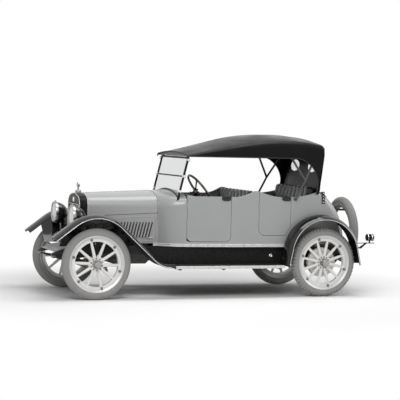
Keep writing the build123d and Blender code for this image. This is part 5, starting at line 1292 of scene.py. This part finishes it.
SCREEN_LEAN = radians(13.7)
SCREEN_FOOT = Vector((COWL_BACK_X + 0.1, 0, BELT_Z - 0.04))
SCREEN_UP = Vector((-sin(SCREEN_LEAN), 0, cos(SCREEN_LEAN)))
SCREEN_AHEAD = Vector((cos(SCREEN_LEAN), 0, sin(SCREEN_LEAN)))


def screen_dress():
    """Knobs and clamps on the windscreen posts, and a rubber strip between the panes."""
    knobs, strips = bmesh.new(), bmesh.new()
    for sign in SIDES.values():
        for up in (0.285, 0.49):
            at = SCREEN_FOOT + SCREEN_UP * up + Vector((0, sign * 0.508, 0))
            turned(knobs, at - Vector((0, sign * 0.001, 0)), (0, sign, 0),
                   ((0.012, 0), (0.012, 0.008), (0.008, 0.01), (0.008, 0.016), (0.018, 0.018), (0.02, 0.026),
                    (0.016, 0.034), (0, 0.036)), 18)
        for up in (0.1, 0.285):
            at = SCREEN_FOOT + SCREEN_UP * up + Vector((0, sign * 0.497, 0))
            turn = Matrix((SCREEN_AHEAD, Vector((0, 1, 0)), SCREEN_UP)).transposed()
            block(knobs, at, (0.03, 0.026, 0.034), turn, 0.003)
    middle = SCREEN_FOOT + SCREEN_UP * 0.285 + SCREEN_AHEAD * 0.0085
    tube(strips, [middle + Vector((0, y, 0)) for y in (-0.48, 0, 0.48)], 0.006, 8)
    piece("screen_knobs", knobs, nickel, "chassis")
    piece("screen_strip", strips, black_and_slot_shade, "chassis")


# Cabin

WHEEL_CENTRE = Vector((COWL_BACK_X - 0.249, 0.285, 1.293))
COLUMN_RAKE = radians(38.4)
COLUMN_WAY = Vector((cos(COLUMN_RAKE), 0, -sin(COLUMN_RAKE)))


DASH_X = COWL_BACK_X + 0.0125


def cabin_dress():
    """Dials and knobs on the dashboard, the steering wheel's button and bolts, and mats."""
    bezels, faces, hands = (bmesh.new() for i in range(3))
    for y, radius in ((0.12, 0.045), (-0.02, 0.052), (-0.16, 0.045)):
        at = Vector((DASH_X, y, 1.135))
        hoop(bezels, at, (-1, 0, 0),
             ((radius, 0), (radius + 0.008, 0.001), (radius + 0.007, 0.008), (radius, 0.01), (radius - 0.003, 0.006)),
             40)
        turned(faces, at, (-1, 0, 0), ((radius, 0), (radius, 0.002), (radius * 0.5, 0.0022), (0, 0.0022)), 40)
        tube(hands, (at + Vector((-0.004, 0, 0)), at + Vector((-0.004, radius * 0.35, radius * 0.6))), 0.0015, 6)
        for i in range(11):
            way = Vector((0, cos(radians(-30 + 24 * i)), sin(radians(-30 + 24 * i))))
            block(hands, at + Vector((-0.0028, 0, 0)) + way * radius * 0.82, (0.001, 0.002, 0.006),
                  Matrix.Rotation(radians(-120 + 24 * i), 3, "X"))
    for y in (-0.26, -0.30, 0.21):
        turned(bezels, (DASH_X, y, 1.11), (-1, 0, 0),
               ((0.006, 0), (0.006, 0.012), (0.012, 0.015), (0.012, 0.022), (0, 0.024)), 16)
    piece("dial_rims", bezels, nickel, "chassis")
    piece("dial_faces", faces, dial_white, "chassis")
    piece("dial_hands", hands, black_and_slot_shade, "chassis")
    bm = bmesh.new()
    hub = WHEEL_CENTRE + COLUMN_WAY * 0.04
    turned(bm, hub, -COLUMN_WAY,
           ((0.032, 0), (0.034, 0.004), (0.03, 0.012), (0.018, 0.016), (0.016, 0.022), (0, 0.026)), 28)
    for i in range(4):
        angle = radians(45 + 90 * i)
        across, up = Vector((0, 1, 0)), COLUMN_WAY.cross(Vector((0, 1, 0)))
        way = across * cos(angle) + up * sin(angle)
        spot = WHEEL_CENTRE + way * 0.197
        turned(bm, spot + COLUMN_WAY * 0.013, -COLUMN_WAY, ((0.012, 0), (0.012, 0.003), (0.006, 0.006)), 12)
    piece("wheel_spider", bm, nickel, "steering_wheel")
    mats = bmesh.new()
    for x0, x1, half in ((0.36, 0.04, 0.5), (-0.55, -0.735, 0.52)):
        block(mats, ((x0 + x1) / 2, 0, 0.6385), (x0 - x1, 2 * half, 0.006), None, 0.002)
        for i in range(int((x0 - x1) / 0.022)):
            block(mats, (x0 - 0.014 - i * 0.022, 0, 0.6425), (0.010, 2 * half - 0.03, 0.004), None, 0.0015)
    piece("floor_mats", mats, board_cover, "chassis")


# Running gear

SPRING_Y, LEAF_HALF = 0.329, 0.0205


def leaf_dress():
    """Separate leaves, clips and U-bolts over the springs."""
    leaves, clips = bmesh.new(), bmesh.new()
    for x, seat, stack, span, eye in ((FRONT_AXLE_X, 0.4, 0.042, 0.427, 0.483),
                                      (REAR_AXLE_X, 0.325, 0.046, 0.43, 0.5)):
        top = through((x - span, eye), (x, seat + stack), (x + span, eye), 40)
        count = 5
        for sign in SIDES.values():
            for k in range(count):
                reach = 1.0 - 0.17 * k
                rows = []
                for i in range(41):
                    share = i / 40 * 2 - 1
                    if abs(share) > reach + 1e-6:
                        continue
                    px, pz = top[i]
                    drop = 0.001 + k * (stack - 0.004) / count * (1 - abs(share) ** 2 * 0.55)
                    rows.append([(px, sign * (SPRING_Y + w), pz - drop - h)
                                 for w, h in ((-LEAF_HALF, 0.0), (LEAF_HALF, 0.0), (LEAF_HALF, 0.0065),
                                              (-LEAF_HALF, 0.0065))])
                loft_rings(leaves, rows)
            for share in (-0.55, 0.55):
                px, pz = top[int(20 + 20 * share)]
                block(clips, (px, sign * SPRING_Y, pz - 0.014), (0.02, 0.05, 0.036), None, 0.002)
            for dx in (-0.032, 0.032):
                for y in (sign * SPRING_Y - 0.026, sign * SPRING_Y + 0.026):
                    tube(clips, ((x + dx, y, seat - 0.02), (x + dx, y, seat + stack + 0.012)), 0.006, 8)
                    bolt(clips, (x + dx, y, seat - 0.012), (0, 0, -1), 0.009)
            block(clips, (x, sign * SPRING_Y, seat + stack + 0.008), (0.09, 0.068, 0.010), None, 0.002)
            for end in (-1, 1):
                px = x + end * (span - 0.006)
                turned(clips, (px, sign * 0.375, eye - 0.006), (0, -sign, 0),
                       ((0.012, -0.002), (0.017, 0.0), (0.017, 0.012), (0.017, 0.08), (0.017, 0.092), (0.012, 0.094)),
                       18)
    piece("spring_leaves", leaves, chassis_black, "chassis")
    piece("spring_clips", clips, bolt_steel, "chassis")


TANK_X, TANK_Z = REAR_AXLE_X - 0.278, 0.475


def frame_dress():
    """Rivets along the rails, bands on the exhaust and the tank, and the spare's rim with its lugs."""
    bm = bmesh.new()
    for sign in SIDES.values():
        for i in range(26):
            x = 1.5 - i * 0.128
            for z in (0.585, 0.515):
                rivet(bm, (x, sign * 0.35, z), (0, sign, 0), 0.007)
        for x in (COWL_FRONT_X - 0.17, COWL_BACK_X - 0.42, COWL_BACK_X - 1.15):
            for y in (0.58, 0.74):
                bolt(bm, (x, sign * y, 0.346), (0, 0, -1), 0.009)
    piece("frame_rivets", bm, chassis_black, "chassis")
    bm = bmesh.new()
    muffler_x = COWL_BACK_X - 0.15 - 0.22
    for x in (0.0, -0.03, -0.26, -0.49, -0.52):
        hoop(bm, (muffler_x + x, -0.225, 0.43), (1, 0, 0),
             ((0.069, -0.006), (0.0735, -0.005), (0.0735, 0.005), (0.069, 0.006)), 40)
    piece("muffler_bands", bm, exhaust_steel, "chassis")
    bm = bmesh.new()
    for y in (-0.2, 0.2):
        hoop(bm, (TANK_X, y, TANK_Z), (0, 1, 0),
             ((0.1245, -0.018), (0.1275, -0.018), (0.1275, 0.018), (0.1245, 0.018)), 56)
    for y in (-0.301, 0.301):
        hoop(bm, (TANK_X, y, TANK_Z), (0, 1, 0), ((0.122, -0.006), (0.128, -0.004), (0.128, 0.004), (0.122, 0.006)),
             56)
    turned(bm, (REAR_AXLE_X - 0.36, 0.22, 0.555), (-0.5, 0, 1),
           ((0.03, 0), (0.03, 0.03), (0.036, 0.032), (0.036, 0.05), (0, 0.054)), 20)
    piece("tank_straps", bm, chassis_black, "chassis")
    bm = bmesh.new()
    for i in range(LUGS):
        angle = 360 / LUGS * (i + 0.5)
        out = Vector((0, cos(radians(angle)), sin(radians(angle))))
        spot = SPARE_AT + out * 0.306 + SPARE_AXIS * 0.034
        turn = Matrix((out.cross(SPARE_AXIS), SPARE_AXIS, out)).transposed()
        block(bm, spot, (0.032, 0.014, 0.028), turn, 0.003)
        bolt(bm, spot + SPARE_AXIS * 0.006, SPARE_AXIS, 0.008)
    rim_lips(bm, SPARE_AT, SPARE_AXIS)
    piece("spare_rim", bm, rim_steel, "chassis")


def engine_dress():
    """Head, plugs, manifolds and fan under the hood."""
    front, back = FRONT_AXLE_X - 0.13, COWL_FRONT_X + 0.06
    head, plugs, pipes, fan = (bmesh.new() for i in range(4))
    long = front - back
    block(head, ((front + back) / 2, 0, 1.094), (long - 0.02, 0.25, 0.016), None, 0.004)
    for i in range(7):
        for y in (-0.105, 0.105):
            bolt(head, (back + 0.04 + i * (long - 0.08) / 6, y, 1.101), (0, 0, 1), 0.009)
    for i in range(6):
        x = back + 0.08 + i * (long - 0.16) / 5
        turned(plugs, (x, 0.0, 1.101), (0, 0, 1),
               ((0.014, 0), (0.014, 0.012), (0.008, 0.014), (0.0085, 0.03), (0.006, 0.04), (0.003, 0.041),
                (0.003, 0.05)), 12)
        tube(pipes, [(x, -0.158, 0.98), (x, -0.185, 0.975), (x, -0.2, 0.96)], 0.022, 12)
    tube(pipes, [(back + 0.05, -0.2, 0.96), (front - 0.12, -0.2, 0.96), (front - 0.1, -0.2, 0.9),
                 (front - 0.12, -0.2, 0.7)], 0.03, 14)
    block(head, ((front + back) / 2 + 0.05, 0.19, 0.87), (0.12, 0.06, 0.14), None, 0.01)
    turned(head, ((front + back) / 2 + 0.05, 0.19, 0.94), (0, 0, 1),
           ((0.035, 0), (0.035, 0.02), (0.05, 0.025), (0.05, 0.05), (0.03, 0.06)), 24)
    turned(fan, (front + 0.012, 0, 0.94), (1, 0, 0), ((0.05, -0.012), (0.05, 0.02), (0.025, 0.026), (0.02, 0.05)), 24)
    for i in range(4):
        spin = Matrix.Rotation(radians(45 + 90 * i), 3, "X")
        turn = spin @ Matrix.Rotation(radians(24), 3, "Z")
        block(fan, Vector((front + 0.045, 0, 0.94)) + spin @ Vector((0, 0.105, 0)), (0.004, 0.15, 0.07), turn, 0.001)
    piece("engine_head", head, cast_iron, "chassis")
    piece("spark_plugs", plugs, dial_white, "chassis")
    piece("engine_pipes", pipes, exhaust_steel, "chassis")
    piece("engine_fan", fan, chassis_black, "chassis")


all_tyres()
for end in AXLES:
    for side in SIDES:
        wheel_fittings(end, side)
seats()
canopy_sheet()
radiator_dress()
lamp_dress()
tail_lamp_dress()
hood_dress()
sill_moulding_highlight()
board_dress()
fender_bead_highlights()
door_flaps()
corner_straps()
back_deck()
screen_dress()
cabin_dress()
leaf_dress()
frame_dress()
engine_dress()


# Floor, light and camera

def seen_ray(tree):
    """1 for what the camera sees directly, in a gloss or through glass."""
    ray = node(tree, "ShaderNodeLightPath")
    gloss = maths(tree, "MAXIMUM", ray.outputs["Is Glossy Ray"], ray.outputs["Is Transmission Ray"])
    return maths(tree, "MAXIMUM", ray.outputs["Is Camera Ray"], gloss)


# Distances from the car between which the floor turns white
WHITE_FROM = 1.9, 4.2
WORLD_LIGHT = 0.27


def pale_stage():
    """A wide pale floor that keeps the shadow and turns white away from the car."""
    bm = bmesh.new()
    bmesh.ops.create_grid(bm, x_segments=1, y_segments=1, size=60)
    floor = mesh_object("studio_floor", bm)
    pale = finish("studio_paper", (0.9, 0.9, 0.9), 0.95, drift=(0.01, 2.0), fine=(60.0, 0.02), gloss=0.0)
    tree = pale.node_tree
    place = node(tree, "ShaderNodeTexCoord")
    apart = node(tree, "ShaderNodeVectorMath", ((0, place.outputs["Object"]),), operation="LENGTH")
    away = ranged(tree, apart.outputs["Value"], *WHITE_FROM, interpolation_type="SMOOTHSTEP")
    share = maths(tree, "MULTIPLY", away, seen_ray(tree))
    white = node(tree, "ShaderNodeEmission")
    white.inputs["Color"].default_value = (1, 1, 1, 1)
    both = node(tree, "ShaderNodeMixShader", ((0, share), (1, tree.nodes["Principled BSDF"].outputs[0]),
                                              (2, white.outputs[0])))
    tree.links.new(both.outputs[0], tree.nodes["Material Output"].inputs["Surface"])
    floor.data.materials.append(pale)


def soft_light(name, at, target, size, power):
    """An area lamp aimed at a point."""
    lamp = bpy.data.lights.new(name, "AREA")
    lamp.shape = "RECTANGLE"
    lamp.size, lamp.size_y = size
    lamp.energy = power
    obj = bpy.data.objects.new(name, lamp)
    scene.collection.objects.link(obj)
    obj.location = at
    obj.rotation_euler = (Vector(target) - Vector(at)).to_track_quat("-Z", "Y").to_euler()


def studio():
    """White surroundings and three soft lamps."""
    world = bpy.data.worlds.new("studio")
    scene.world = world
    world.use_nodes = True
    tree = world.node_tree
    back = tree.nodes["Background"]
    back.inputs["Color"].default_value = (1, 1, 1, 1)
    tree.links.new(ranged(tree, seen_ray(tree), 0.0, 1.0, WORLD_LIGHT, 1.0), back.inputs["Strength"])
    soft_light("key_lamp", (3.5, 6.5, 5.5), (0, 0, 0.8), (4.5, 3.0), 300)
    soft_light("top_lamp", (-0.5, 0.5, 6.0), (-0.3, 0, 0.8), (5.0, 3.0), 210)
    soft_light("rear_lamp", (-6.0, 2.0, 3.5), (-0.5, 0, 0.9), (3.0, 3.0), 100)


def photo_camera():
    """The photograph's viewpoint: long lens, slightly ahead of the car's left side, turned a little."""
    yaw, pitch, roll = 0.3461, 0.0459, 0.0239
    level = Vector((-sin(yaw), -cos(yaw), 0))
    right = level.cross(Vector((0, 0, 1)))
    ahead = level * cos(pitch) - Vector((0, 0, 1)) * sin(pitch)
    up = right.cross(ahead)
    turned_right = right * cos(roll) + up * sin(roll)
    turned_up = up * cos(roll) - right * sin(roll)
    lens = bpy.data.cameras.new("photo_camera")
    lens.lens = 135
    lens.sensor_width = 36
    lens.clip_end = 200
    camera = bpy.data.objects.new("photo_camera", lens)
    scene.collection.objects.link(camera)
    place = Matrix((turned_right, turned_up, -ahead)).transposed().to_4x4()
    place.translation = Vector((6.3363, 17.5374, 1.9996))
    camera.matrix_world = place
    scene.camera = camera


scene.view_settings.view_transform = "Standard"
pale_stage()
studio()
photo_camera()
